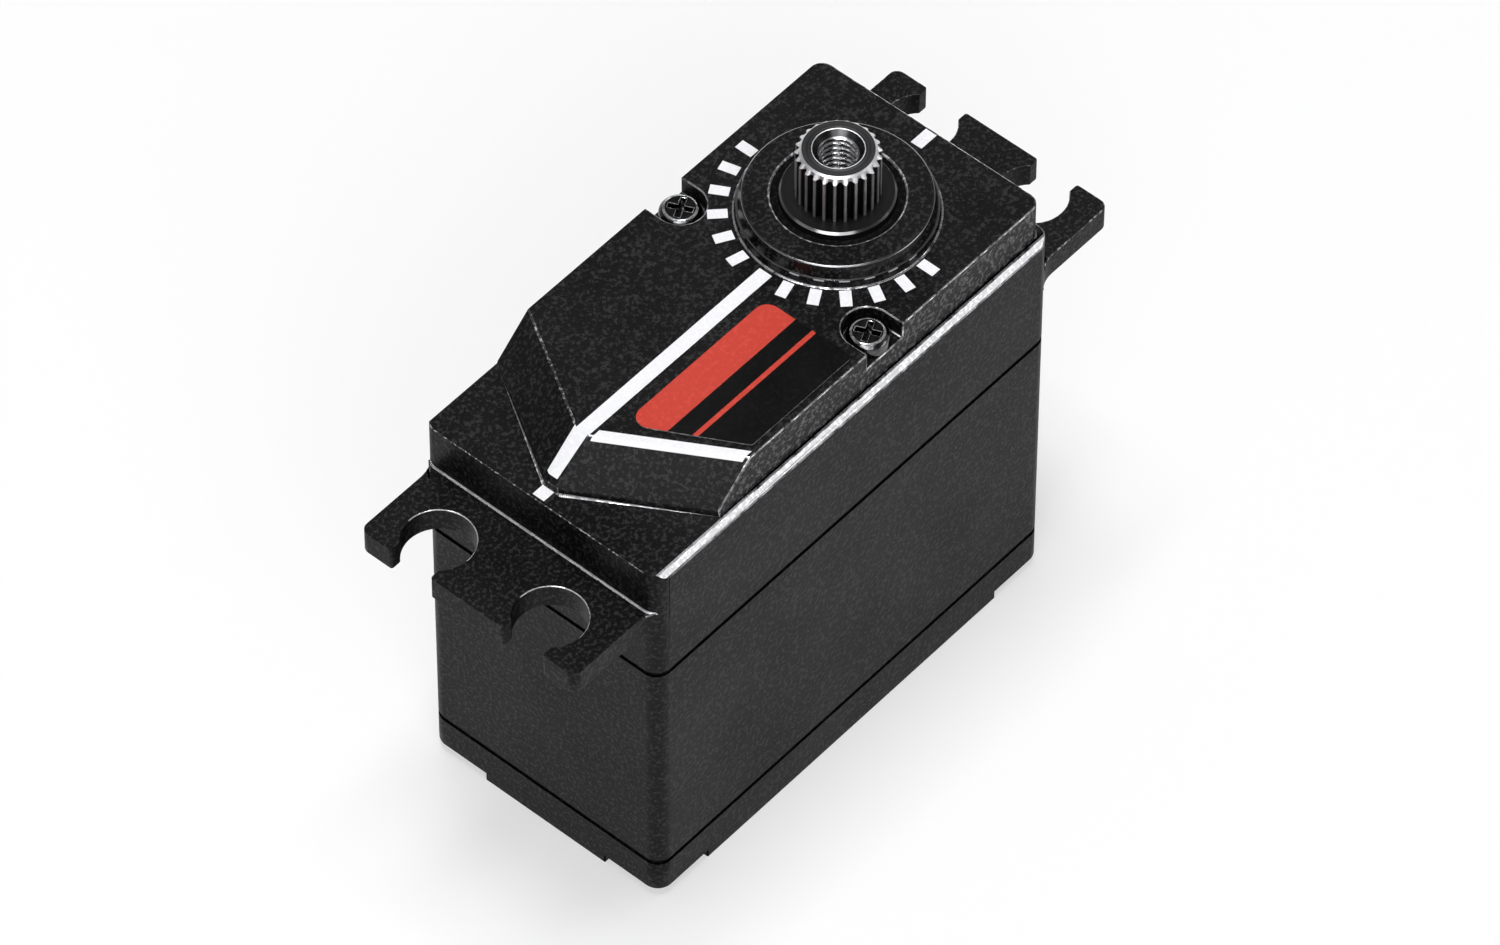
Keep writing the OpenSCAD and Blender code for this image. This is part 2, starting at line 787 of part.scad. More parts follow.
module bearing_ring(r_a, r_b, ball_r, ball_ring_r, z0, w) {
  rotate_extrude() difference() {
    translate([r_a, z0]) square([r_b - r_a, w]);
    translate([ball_ring_r, z0 + w / 2]) circle(ball_r + race_gap);
  }
}

module bearing_balls(n, ball_r, ball_ring_r, z0, w) {
  for (k = [0 : n - 1]) rotate(k * 360 / n) translate([ball_ring_r, 0, z0 + w / 2]) sphere(ball_r);
}

module upper_bearing_outer_ring() {
  color(steel) at_shaft() bearing_ring(upper_ball_ring + race_land * upper_ball_r, upper_race_r,
    upper_ball_r, upper_ball_ring, upper_race_z, upper_race_w);
}

module upper_bearing_inner_ring() {
  color(steel) at_shaft() bearing_ring(journal_r, upper_ball_ring - race_land * upper_ball_r,
    upper_ball_r, upper_ball_ring, upper_race_z, upper_race_w);
}

module upper_bearing_balls() {
  color(steel) at_shaft()
    bearing_balls(upper_balls, upper_ball_r, upper_ball_ring, upper_race_z, upper_race_w);
}

module lower_bearing_outer_ring() {
  color(steel) at_shaft() bearing_ring(lower_ball_ring + race_land * lower_ball_r, lower_race_r,
    lower_ball_r, lower_ball_ring, lower_race_z, lower_race_w);
}

module lower_bearing_inner_ring() {
  color(steel) at_shaft() bearing_ring(lower_r, lower_ball_ring - race_land * lower_ball_r,
    lower_ball_r, lower_ball_ring, lower_race_z, lower_race_w);
}

module lower_bearing_balls() {
  color(steel) at_shaft()
    bearing_balls(lower_balls, lower_ball_r, lower_ball_ring, lower_race_z, lower_race_w);
}

// Gear train

module motor_pinion() {
  color(brass) at_motor() difference() {
    toothed(motor_teeth, motor_mesh, 0, motor_pinion_z, motor_pinion_top);
    rod(motor_shaft_r, motor_pinion_z - cut, motor_pinion_top + cut);
  }
}

module first_gear_wheel() {
  color(aluminium) at_pin()
    wheel(first_wheel_teeth, motor_mesh, 180, first_hub_r, first_wheel_z, first_wheel_top);
}

module first_gear_pinion() {
  color(steel) at_pin() pinion_on_hub(first_pinion_teeth, middle_mesh, first_hub_r, pin_r + run_gap,
    first_wheel_z, first_wheel_top, first_pinion_top);
}

module second_gear_wheel() {
  color(steel) at_shaft()
    wheel(second_wheel_teeth, middle_mesh, 180, second_hub_r, second_wheel_z, second_wheel_top);
}

module second_gear_pinion() {
  color(steel) at_shaft() pinion_on_hub(second_pinion_teeth, middle_mesh, second_hub_r, lower_r + run_gap,
    second_wheel_z, second_wheel_top, second_pinion_top);
}

module third_gear_wheel() {
  color(steel) at_pin()
    wheel(third_wheel_teeth, middle_mesh, 0, third_hub_r, third_wheel_z, third_wheel_top);
}

module third_gear_pinion() {
  color(steel) at_pin() pinion_on_hub(third_pinion_teeth, output_mesh, third_hub_r, pin_r + run_gap,
    third_wheel_z, third_wheel_top, third_pinion_top);
}

module gear_pin() {
  color(steel) at_pin() rod(pin_r, pin_z0, pin_top);
}

module gear_washers() {
  color(brass) at_pin() {
    tube(washer_r, pin_r, deck_z, first_wheel_z - axial_gap);
    tube(washer_r, pin_r, first_pinion_top + axial_gap, third_wheel_z - axial_gap);
    tube(washer_r, pin_r, third_pinion_top + axial_gap, pin_boss_z);
  }
}

// Motor

module motor_can() {
  color(dark_steel) at_motor() tube(motor_r, motor_r - can_t, motor_z0 + motor_cap_t, motor_z1 - motor_cap_t);
}

module motor_front_cap() {
  seat_z = motor_z1 - motor_cap_t;
  color(aluminium) difference() {
    at_motor() union() {
      rod(motor_r, seat_z, motor_z1);
      rod(motor_boss_r, motor_z1, motor_z1 + motor_boss_h);
    }
    at_motor() {
      rod(motor_bearing_r, seat_z - cut, seat_z + motor_bearing_w);
      rod(motor_shaft_r + motor_hole_gap, seat_z, motor_z1 + motor_boss_h + cut);
    }
    at_motor_screws() rod(motor_screw_r, motor_screw_end, motor_z1 + cut);
  }
}

module motor_rear_cap() {
  seat_z = motor_z0 + motor_cap_t;
  color(chip_black) at_motor() difference() {
    rod(motor_r, motor_z0, seat_z);
    rod(motor_bearing_r, seat_z - motor_bearing_w, seat_z + cut);
  }
}

module motor_bearings() {
  front_z = motor_z1 - motor_cap_t;
  rear_z = motor_z0 + motor_cap_t - motor_bearing_w;
  color(steel) at_motor() for (z = [front_z, rear_z])
    tube(motor_bearing_r, motor_shaft_r + run_gap, z, z + motor_bearing_w);
}

module motor_screws() {
  color(dark_steel) at_motor_screws()
    pan_screw(motor_screw_r, motor_head_r, motor_head_h, deck_z - motor_head_h, motor_screw_end);
}

module stator_core() {
  outer_r = motor_r - can_t;
  color(steel) at_motor() {
    tube(outer_r, core_ring_r, core_z[0], core_z[1]);
    for (k = [0 : core_teeth - 1]) rotate(k * 360 / core_teeth) {
      translate([core_face_r + core_shoe_t / 2, -core_tooth_w / 2, core_z[0]])
        cube([core_ring_r + can_t - core_face_r - core_shoe_t / 2, core_tooth_w, core_z[1] - core_z[0]]);
      ring_sector([core_face_r, core_face_r + core_shoe_t], core_shoe_half, core_z[0], core_z[1]);
    }
  }
}

module stator_coils() {
  height = core_z[1] - core_z[0];
  color(copper) at_motor() for (k = [0 : core_teeth - 1]) rotate(k * 360 / core_teeth) difference() {
    translate([coil_r[0], -coil_w / 2, core_z[0] - coil_over])
      cube([coil_r[1] - coil_r[0], coil_w, height + 2 * coil_over]);
    translate([coil_r[0] - cut, -core_tooth_w / 2, core_z[0]])
      cube([coil_r[1] - coil_r[0] + 2 * cut, core_tooth_w, height]);
  }
}

module rotor_shaft() {
  color(steel) at_motor()
    rod(motor_shaft_r, motor_z0 + motor_cap_t - motor_bearing_w + axial_gap, motor_pinion_top);
}

module rotor_magnet() {
  color(dark_steel) at_motor() tube(rotor_r, motor_shaft_r, core_z[0] - magnet_over, core_z[1] + magnet_over);
}

module motor_leads() {
  color(label_red) at_motor() for (k = [-1 : 1]) rotate(k * lead_step)
    translate([lead_ring_r, 0, 0]) rod(lead_r, board_z + board_t, motor_z0);
}

// Electronics

module circuit_board() {
  color(board_green) difference() {
    slab(board_l, board_w, inner_r, board_z, board_z + board_t);
    at_case_screws() rod(post_r + board_gap, board_z - cut, board_z + board_t + cut);
  }
}

module board_chips() {
  top = board_z + board_t;
  color(chip_black) for (c = chips) translate([c[0].x, c[0].y, 0]) box(c[1], top, top + chip_h);
}

module sensor_board() {
  color(board_green) difference() {
    at_shaft() slab(sensor_board_l, sensor_board_w, inner_r, sensor_top - board_t, sensor_top);
    at_sensor_screws() rod(sensor_screw_r, sensor_top - board_t - cut, sensor_top + cut);
  }
}

module sensor_chip() {
  color(chip_black) at_shaft()
    box([sensor_chip_w, sensor_chip_w], sensor_top, sensor_top + sensor_chip_t);
}

module sensor_screws() {
  color(steel) at_sensor_screws() mirror([0, 0, 1])
    pan_screw(sensor_screw_r, sensor_head_r, sensor_head_h, board_t - sensor_top, -deck_z0);
}

module sensor_lead() {
  color(rubber_black) translate([sensor_lead_x, -sensor_lead_w / 2, board_z + board_t])
    cube([sensor_lead_t, sensor_lead_w, sensor_top - 2 * board_t - board_z]);
}

upper_case();
middle_case();
bottom_cover();
upper_gasket();
lower_gasket();
case_screws();
top_screws();
top_label();
lead_grommet();
output_shaft();
output_gear();
shaft_spacer();
sensor_magnet();
shaft_seal();
upper_bearing_outer_ring();
upper_bearing_inner_ring();
upper_bearing_balls();
lower_bearing_outer_ring();
lower_bearing_inner_ring();
lower_bearing_balls();
motor_pinion();
first_gear_wheel();
first_gear_pinion();
second_gear_wheel();
second_gear_pinion();
third_gear_wheel();
third_gear_pinion();
gear_pin();
gear_washers();
motor_can();
motor_front_cap();
motor_rear_cap();
motor_bearings();
motor_screws();
stator_core();
stator_coils();
rotor_shaft();
rotor_magnet();
motor_leads();
circuit_board();
board_chips();
sensor_board();
sensor_chip();
sensor_screws();
sensor_lead();
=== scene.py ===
import json
import math

import bmesh
import bpy
from mathutils import Matrix, Vector


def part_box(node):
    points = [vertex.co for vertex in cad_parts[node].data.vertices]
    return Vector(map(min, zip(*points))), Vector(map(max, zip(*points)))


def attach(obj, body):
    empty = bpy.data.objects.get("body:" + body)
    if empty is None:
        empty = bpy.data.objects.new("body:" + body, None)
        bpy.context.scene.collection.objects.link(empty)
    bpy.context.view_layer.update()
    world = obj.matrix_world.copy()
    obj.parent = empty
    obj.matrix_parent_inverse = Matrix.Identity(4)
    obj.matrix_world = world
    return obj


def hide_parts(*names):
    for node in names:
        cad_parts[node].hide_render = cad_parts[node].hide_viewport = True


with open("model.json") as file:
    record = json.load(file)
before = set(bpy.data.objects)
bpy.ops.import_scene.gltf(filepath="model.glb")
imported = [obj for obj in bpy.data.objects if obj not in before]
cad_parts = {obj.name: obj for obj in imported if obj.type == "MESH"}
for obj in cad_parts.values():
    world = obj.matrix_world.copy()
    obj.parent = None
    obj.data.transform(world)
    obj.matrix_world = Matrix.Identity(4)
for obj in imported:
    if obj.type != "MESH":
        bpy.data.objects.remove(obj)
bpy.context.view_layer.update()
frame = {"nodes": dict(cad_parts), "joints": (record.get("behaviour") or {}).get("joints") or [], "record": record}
nodes = frame["nodes"]
joints = {joint["name"]: joint for joint in frame["joints"]}
print("frame loaded,", len(nodes), "nodes")

mm = 0.001
sharpAngle = math.radians(24)  # the round walls' own facets meet at less
flatAngle = math.radians(0.3)  # faces that meet at less become one
weldGap = 1e-7

# Places from the frame, in mm like the sizes below
shaftX = joints["output_turn"]["pos_m"][0] / mm
labelLow, labelHigh = (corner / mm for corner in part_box("top_label"))
platformZ = labelLow.z
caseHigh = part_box("middle_case")[1] / mm
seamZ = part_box("upper_case")[0].z / mm


# Node helpers

def addNode(tree, kind, values=None, **settings):
    node = tree.nodes.new(kind)
    for key, value in settings.items():
        setattr(node, key, value)
    for key, value in (values or {}).items():
        node.inputs[key].default_value = value
    return node


def makeGroup(name, inputs, outputs):
    tree = bpy.data.node_groups.new(name, "ShaderNodeTree")
    for label, kind, value in inputs:
        tree.interface.new_socket(name=label, in_out="INPUT", socket_type=kind).default_value = value
    for label, kind in outputs:
        tree.interface.new_socket(name=label, in_out="OUTPUT", socket_type=kind)
    return tree, tree.nodes.new("NodeGroupInput"), tree.nodes.new("NodeGroupOutput")


def scaled(tree, socket, factor):
    node = addNode(tree, "ShaderNodeMath", {1: factor}, operation="MULTIPLY")
    tree.links.new(socket, node.inputs[0])
    return node.outputs[0]


def addedShare(tree, socket, share, base):
    node = addNode(tree, "ShaderNodeMath", {1: share}, operation="MULTIPLY_ADD", use_clamp=True)
    tree.links.new(socket, node.inputs[0])
    tree.links.new(base, node.inputs[2])
    return node.outputs[0]


def joined(tree, operation, first, second):
    node = addNode(tree, "ShaderNodeMath", operation=operation)
    tree.links.new(first, node.inputs[0])
    tree.links.new(second, node.inputs[1])
    return node.outputs[0]


def remapped(tree, socket, fromLow, fromHigh, toLow=0.0, toHigh=1.0):
    values = {"From Min": fromLow, "From Max": fromHigh, "To Min": toLow, "To Max": toHigh}
    node = addNode(tree, "ShaderNodeMapRange", values)
    tree.links.new(socket, node.inputs["Value"])
    return node.outputs["Result"]


def mixedColour(tree, factor, first, second):
    node = addNode(tree, "ShaderNodeMix", data_type="RGBA")
    for index, value in ((0, factor), (6, first), (7, second)):
        if isinstance(value, bpy.types.NodeSocket):
            tree.links.new(value, node.inputs[index])
        else:
            node.inputs[index].default_value = value
    return node.outputs[2]


def noise(tree, coords, scale, detail, roughness):
    node = addNode(tree, "ShaderNodeTexNoise", {"Detail": detail, "Roughness": roughness})
    tree.links.new(coords, node.inputs["Vector"])
    tree.links.new(scale, node.inputs["Scale"])
    return node.outputs["Fac"]


# Shared effects: a noise is given by its detail and roughness

number, colour, vector = "NodeSocketFloat", "NodeSocketColor", "NodeSocketVector"
grainLook = {
    "scale": 5200.0, "patchScale": 160.0, "dark": (0.01, 0.01, 0.01, 1), "light": (0.03, 0.03, 0.03, 1),
    "grain": (3.0, 0.65), "grainTone": (0.515, 0.605), "grainShare": 0.9,
    "patch": (2.0, 0.5), "patchTone": (0.3, 0.7), "patchShare": 0.06, "patchRoughness": (0.25, 0.75),
    "pitSize": 0.55, "pitReach": (0.05, 0.3), "pitShare": 0.12,
}
rubLook = {"scale": 1400.0, "low": 0.40, "high": 0.60, "spots": (4.0, 0.7)}
turnedLook = {"lines": 3000.0, "noise": (2.0, 0.6), "tone": (0.3, 0.7)}


def makeGrainGroup(look):
    tree, given, made = makeGroup(
        "blastedGrain",
        [("Grain Scale", number, look["scale"]), ("Patch Scale", number, look["patchScale"]),
         ("Dark", colour, look["dark"]), ("Light", colour, look["light"])],
        [("Colour", colour), ("Roughness", number), ("Height", number)])
    coords = addNode(tree, "ShaderNodeTexCoord").outputs["Object"]
    grain = noise(tree, coords, given.outputs["Grain Scale"], *look["grain"])
    patch = noise(tree, coords, given.outputs["Patch Scale"], *look["patch"])
    pits = addNode(tree, "ShaderNodeTexVoronoi", feature="F1")
    tree.links.new(coords, pits.inputs["Vector"])
    tree.links.new(scaled(tree, given.outputs["Grain Scale"], look["pitSize"]), pits.inputs["Scale"])
    specks = remapped(tree, pits.outputs["Distance"], *look["pitReach"], 1.0, 0.0)
    grainTone = remapped(tree, grain, *look["grainTone"])
    patchTone = remapped(tree, patch, *look["patchTone"], 0.0, look["patchShare"])
    tone = addedShare(tree, grainTone, look["grainShare"], patchTone)
    lit = addedShare(tree, specks, look["pitShare"], tone)
    shade = mixedColour(tree, lit, given.outputs["Dark"], given.outputs["Light"])
    tree.links.new(shade, made.inputs["Colour"])
    tree.links.new(remapped(tree, patch, *look["patchRoughness"]), made.inputs["Roughness"])
    tree.links.new(grain, made.inputs["Height"])
    return tree


def makeRubGroup(look):
    tree, given, made = makeGroup(
        "edgeRub",
        [("Scale", number, look["scale"]), ("Low", number, look["low"]), ("High", number, look["high"]),
         ("Fade From", number, -1.0), ("Fade To", number, 0.0), ("Least", number, 0.0)],
        [("Mask", number)])
    coords = addNode(tree, "ShaderNodeTexCoord").outputs["Object"]
    spots = addNode(tree, "ShaderNodeMapRange")
    tree.links.new(noise(tree, coords, given.outputs["Scale"], *look["spots"]), spots.inputs["Value"])
    tree.links.new(given.outputs["Low"], spots.inputs["From Min"])
    tree.links.new(given.outputs["High"], spots.inputs["From Max"])
    split = addNode(tree, "ShaderNodeSeparateXYZ")
    tree.links.new(coords, split.inputs[0])
    fade = addNode(tree, "ShaderNodeMapRange")  # less rubbed low down
    tree.links.new(split.outputs["Z"], fade.inputs["Value"])
    for socket, label in (("From Min", "Fade From"), ("From Max", "Fade To"), ("To Min", "Least")):
        tree.links.new(given.outputs[label], fade.inputs[socket])
    mask = joined(tree, "MULTIPLY", spots.outputs["Result"], fade.outputs["Result"])
    tree.links.new(mask, made.inputs["Mask"])
    return tree


def makeTurnedGroup(look):
    tree, given, made = makeGroup(
        "turnedLines",
        [("Centre", vector, (0, 0, 0)), ("Lines", number, look["lines"])],
        [("Tone", number), ("Height", number), ("Reach", number)])
    coords = addNode(tree, "ShaderNodeTexCoord").outputs["Object"]
    shift = addNode(tree, "ShaderNodeVectorMath", operation="SUBTRACT")
    tree.links.new(coords, shift.inputs[0])
    tree.links.new(given.outputs["Centre"], shift.inputs[1])
    split = addNode(tree, "ShaderNodeSeparateXYZ")
    tree.links.new(shift.outputs[0], split.inputs[0])
    flat = addNode(tree, "ShaderNodeCombineXYZ")
    tree.links.new(split.outputs["X"], flat.inputs["X"])
    tree.links.new(split.outputs["Y"], flat.inputs["Y"])
    reach = addNode(tree, "ShaderNodeVectorMath", operation="LENGTH")
    tree.links.new(flat.outputs[0], reach.inputs[0])
    along = addNode(tree, "ShaderNodeCombineXYZ")
    tree.links.new(reach.outputs["Value"], along.inputs["X"])
    tree.links.new(split.outputs["Z"], along.inputs["Y"])
    lines = noise(tree, along.outputs[0], given.outputs["Lines"], *look["noise"])
    tree.links.new(remapped(tree, lines, *look["tone"]), made.inputs["Tone"])
    tree.links.new(lines, made.inputs["Height"])
    tree.links.new(reach.outputs["Value"], made.inputs["Reach"])
    return tree


grainGroup = makeGrainGroup(grainLook)
rubGroup = makeRubGroup(rubLook)
turnedGroup = makeTurnedGroup(turnedLook)


# Materials: scale and lines are per metre, other sizes in mm

def newMaterial(name, **constants):
    material = bpy.data.materials.new(name)
    material.use_nodes = True
    shader = material.node_tree.nodes["Principled BSDF"]
    for key, value in constants.items():
        shader.inputs[key].default_value = value
    return material, material.node_tree, shader


def placeGroup(tree, group, **values):
    return addNode(tree, "ShaderNodeGroup", values, node_tree=group)


def addBump(tree, shader, height, depth):
    bump = addNode(tree, "ShaderNodeBump", {"Strength": 1.0, "Distance": depth * mm})
    tree.links.new(height, bump.inputs["Height"])
    tree.links.new(bump.outputs["Normal"], shader.inputs["Normal"])


def grainMaterial(name, dark, light, roughness, scale, depth, metallic=0.0, gloss=0.5):
    material, tree, shader = newMaterial(name, **{"Metallic": metallic, "Specular IOR Level": gloss})
    grain = placeGroup(tree, grainGroup, **{"Grain Scale": scale, "Dark": dark, "Light": light})
    tree.links.new(grain.outputs["Colour"], shader.inputs["Base Color"])
    low, high = roughness
    tree.links.new(remapped(tree, grain.outputs["Roughness"], 0, 1, low, high), shader.inputs["Roughness"])
    addBump(tree, shader, grain.outputs["Height"], depth)
    return material


def rubbedMaterial(name, dark, bare, roughness, depth, fade=(-1000, 0), least=0.0):
    material, tree, shader = newMaterial(name)
    fadeFrom, fadeTo = fade  # left as it is, the part lies above it and nothing fades
    rub = placeGroup(tree, rubGroup, **{"Fade From": fadeFrom * mm, "Fade To": fadeTo * mm, "Least": least})
    mask = rub.outputs["Mask"]
    tree.links.new(mixedColour(tree, mask, dark, bare), shader.inputs["Base Color"])
    tree.links.new(mask, shader.inputs["Metallic"])
    low, high = roughness
    tree.links.new(remapped(tree, mask, 0, 1, high, low), shader.inputs["Roughness"])
    addBump(tree, shader, mask, depth)
    return material


def turnedMaterial(name, dark, light, roughness, lines, depth, centre=0, reach=None,
                   metallic=1.0, gloss=0.5):
    material, tree, shader = newMaterial(name, **{"Metallic": metallic, "Specular IOR Level": gloss})
    turned = placeGroup(tree, turnedGroup, Centre=(centre * mm, 0, 0), Lines=lines)
    tone = turned.outputs["Tone"]
    shade = tone
    if reach:  # the colour follows the distance from the axis: painted highlights on tooth tips and thread crests, painted shade in the thread grooves
        shade = remapped(tree, turned.outputs["Reach"], reach[0] * mm, reach[1] * mm)
    tree.links.new(mixedColour(tree, shade, dark, light), shader.inputs["Base Color"])
    low, high = roughness
    tree.links.new(remapped(tree, tone, 0, 1, low, high), shader.inputs["Roughness"])
    addBump(tree, shader, turned.outputs["Height"], depth)
    return material


def grey(level):
    return (level, level, level * 1.03, 1)


blasted = {"roughness": (0.40, 0.50), "scale": 3400.0, "depth": 0.03, "gloss": 0.11}  # most of the case
flatter = {**blasted, "depth": 0.01, "gloss": 0.5}  # edges and joints with less grain
film = {"scale": 2400.0, "depth": 0.004}  # the label
grainFinishes = {
    "caseBlack": {**blasted, "dark": grey(0.0004), "light": grey(0.026)},
    "caseSmooth": {**blasted, "dark": grey(0.0004), "light": grey(0.026), "roughness": (0.22, 0.28),
                   "depth": 0.005, "gloss": 0.25},
    # painted light: the platform's side walls are coloured lighter than the rest of the case
    "wallPaintedLight": {**blasted, "dark": grey(0.008), "light": grey(0.135)},
    # painted highlight: light dashes on edges where light catches them
    "dashHighlight": {**blasted, "dark": grey(0.02), "light": grey(0.42)},
    # painted highlight: a near white line at the foot of the slope on the +Y side
    "footHighlight": {**blasted, "dark": grey(0.2), "light": grey(0.95)},
    # near black: dark joints, and painted shadow on the shoulder strip beside the walls
    "seamAndShadeBlack": {**flatter, "dark": grey(0.001), "light": grey(0.003), "roughness": (0.6, 0.7),
                  "gloss": 0.0},
    "bareBevel": {**flatter, "dark": grey(0.45), "light": grey(0.78), "roughness": (0.32, 0.42),
                  "metallic": 0.8},
    "holeRim": {**flatter, "dark": grey(0.12), "light": grey(0.7), "roughness": (0.22, 0.32),
                "metallic": 0.3},
    "printWhite": {"dark": grey(0.87), "light": grey(0.95), "roughness": (0.45, 0.6), "scale": 4200.0,
                   "depth": 0.006, "gloss": 0.2},
    "labelRed": {**film, "dark": (0.56, 0.052, 0.034, 1), "light": (0.64, 0.068, 0.045, 1),
                 "roughness": (0.3, 0.4), "gloss": 0.2},
    "labelBlack": {**film, "dark": grey(0.002), "light": grey(0.005), "roughness": (0.22, 0.32),
                   "gloss": 0.2},
    "labelEdge": {**film, "dark": grey(0.2), "light": grey(0.5), "roughness": (0.4, 0.5)},
    "sealRubber": {"dark": grey(0.005), "light": grey(0.014), "roughness": (0.6, 0.75), "scale": 3000.0,
                   "depth": 0.02, "gloss": 0.0},
    "motorSteel": {"dark": grey(0.22), "light": grey(0.34), "roughness": (0.3, 0.45), "scale": 2600.0,
                   "depth": 0.006, "metallic": 1.0},
    "magnetGrey": {"dark": grey(0.14), "light": grey(0.24), "roughness": (0.3, 0.45), "scale": 2600.0,
                   "depth": 0.008, "metallic": 1.0},
    "capPlastic": {"dark": grey(0.02), "light": grey(0.04), "roughness": (0.45, 0.6), "scale": 2200.0,
                   "depth": 0.01},
    "boardGreen": {"dark": (0.01, 0.09, 0.04, 1), "light": (0.025, 0.17, 0.07, 1), "roughness": (0.3, 0.45),
                   "scale": 900.0, "depth": 0.01},
    "wireRed": {"dark": (0.22, 0.02, 0.02, 1), "light": (0.34, 0.04, 0.03, 1), "roughness": (0.4, 0.55),
                "scale": 1800.0, "depth": 0.01},
}
rubbedFinishes = {
    "caseEdge": {"dark": grey(0.012), "bare": grey(0.55), "roughness": (0.22, 0.32), "depth": 0.004,
                 "fade": (seamZ, platformZ), "least": 0.25},
    # painted highlight: light grey lines, brighter in rubbed spots, where light catches edges
    "lineHighlight": {"dark": grey(0.3), "bare": grey(0.75), "roughness": (0.25, 0.35), "depth": 0.002},
    "screwEdge": {"dark": grey(0.1), "bare": grey(0.7), "roughness": (0.12, 0.2), "depth": 0.002},
}
shaftLines = {"lines": 4200.0, "depth": 0.003, "centre": shaftX}
gearLines = {"lines": 3000.0, "depth": 0.003}
turnedFinishes = {
    "bossRim": {**shaftLines, "dark": grey(0.16), "light": grey(0.26), "roughness": (0.16, 0.24)},
    "bandPolish": {"dark": grey(0.3), "light": grey(0.42), "roughness": (0.07, 0.12), "lines": 3000.0,
                   "depth": 0.001, "centre": shaftX},
    "neckBlack": {**shaftLines, "dark": grey(0.004), "light": grey(0.008), "roughness": (0.3, 0.4),
                  "metallic": 0.0, "gloss": 0.15},
    "neckRim": {**shaftLines, "dark": grey(0.14), "light": grey(0.22), "roughness": (0.16, 0.24)},
    "shaftSteel": {**shaftLines, "dark": grey(0.65), "light": grey(0.8), "roughness": (0.36, 0.46)},
    "shaftTop": {"dark": grey(0.05), "light": grey(0.11), "roughness": (0.24, 0.36), "lines": 6500.0,
                 "depth": 0.006, "centre": shaftX},
    # dark steel with painted highlights on the tooth tips
    "splineSteel": {**shaftLines, "dark": grey(0.015), "light": grey(0.6), "roughness": (0.34, 0.44),
                    "reach": (2.86, 2.955)},
    # painted highlights on the thread crests and painted shade in the grooves
    "threadSteel": {**shaftLines, "dark": grey(0.85), "light": grey(0.04), "roughness": (0.2, 0.3),
                    "reach": (1.28, 1.44)},
    "screwBlack": {"dark": grey(0.05), "light": grey(0.12), "roughness": (0.12, 0.2), "lines": 4000.0,
                   "depth": 0.004},
    "gearSteel": {**gearLines, "dark": grey(0.38), "light": grey(0.52), "roughness": (0.25, 0.4),
                  "centre": shaftX},
    "gearAluminium": {**gearLines, "dark": grey(0.55), "light": grey(0.68), "roughness": (0.28, 0.42)},
    "gearBrass": {**gearLines, "dark": (0.45, 0.32, 0.1, 1), "light": (0.62, 0.46, 0.18, 1),
                  "roughness": (0.2, 0.35)},
    "bearingSteel": {"dark": grey(0.52), "light": grey(0.64), "roughness": (0.1, 0.2), "lines": 6000.0,
                     "depth": 0.001, "centre": shaftX},
    "coilCopper": {"dark": (0.36, 0.13, 0.04, 1), "light": (0.6, 0.26, 0.1, 1), "roughness": (0.25, 0.4),
                   "lines": 9000.0, "depth": 0.01},
}
coats = {name: grainMaterial(name, **values) for name, values in grainFinishes.items()}
coats.update({name: rubbedMaterial(name, **values) for name, values in rubbedFinishes.items()})
coats.update({name: turnedMaterial(name, **values) for name, values in turnedFinishes.items()})
print("materials made:", len(coats))


# Mesh helpers: finishes is a list of the names of coats

def addPiece(name, bm, finishes, body, slotName, *replaced):
    mesh = bpy.data.meshes.new(name)
    bm.normal_update()
    bm.to_mesh(mesh)
    bm.free()
    for finish in finishes:
        mesh.materials.append(coats[finish])
    piece = bpy.data.objects.new(name, mesh)
    bpy.context.scene.collection.objects.link(piece)
    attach(piece, body)
    if replaced:
        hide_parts(*replaced)
    return piece


def sharpenFlats(bm):
    for face in bm.faces:
        face.smooth = True
    for edge in bm.edges:
        edge.smooth = len(edge.link_faces) == 2 and edge.calc_face_angle() < sharpAngle


def joinRims(bm, here, there):
    corners = zip(here, here[1:] + here[:1], there[1:] + there[:1], there)
    return [bm.faces.new(quad) for quad in corners]


def settleEdges(piece, finishes, edgeAt):
    graph = bpy.context.evaluated_depsgraph_get()
    shaped = piece.evaluated_get(graph)
    mesh = bpy.data.meshes.new_from_object(shaped, preserve_all_data_layers=True, depsgraph=graph)
    piece.modifiers.clear()
    piece.data = mesh
    for face in mesh.polygons:
        if face.material_index == 1:
            face.material_index = finishes.index(edgeAt(face.center / mm))


# A copy of a node with rounded edges, which take the second finish or what edgeAt says
def softenedCopy(name, nodeName, slotName, finishes, widest, widthAt, finishAt=None, edgeAt=None, cut=None):
    bm = bmesh.new()
    bm.from_mesh(nodes[nodeName].data)
    bmesh.ops.remove_doubles(bm, verts=bm.verts, dist=weldGap)
    if cut:
        cut(bm)
    for face in bm.faces:
        face.smooth = True
        finish = finishAt(face.calc_center_median() / mm, face.normal) if finishAt else finishes[0]
        face.material_index = finishes.index(finish)
    bmesh.ops.dissolve_limit(bm, angle_limit=flatAngle, verts=bm.verts, edges=bm.edges,
                             delimit={"MATERIAL"})
    weights = bm.edges.layers.float.new("bevel_weight_edge")
    for edge in bm.edges:
        sharp = len(edge.link_faces) == 2 and edge.calc_face_angle() > sharpAngle
        width = widthAt((edge.verts[0].co + edge.verts[1].co) / 2 / mm) if sharp else 0
        edge[weights] = width / widest
        edge.smooth = not sharp or width > 0
    piece = addPiece(name, bm, finishes, "case", slotName, nodeName)
    bevel = piece.modifiers.new("softEdges", "BEVEL")
    bevel.limit_method = "WEIGHT"
    bevel.width = widest * mm
    bevel.segments = 3
    bevel.use_clamp_overlap = False
    bevel.material = 1
    level = piece.modifiers.new("flatFaces", "WEIGHTED_NORMAL")  # large faces shade flat up to their edges
    level.keep_sharp = True
    if edgeAt:
        settleEdges(piece, finishes, edgeAt)


# Case shells

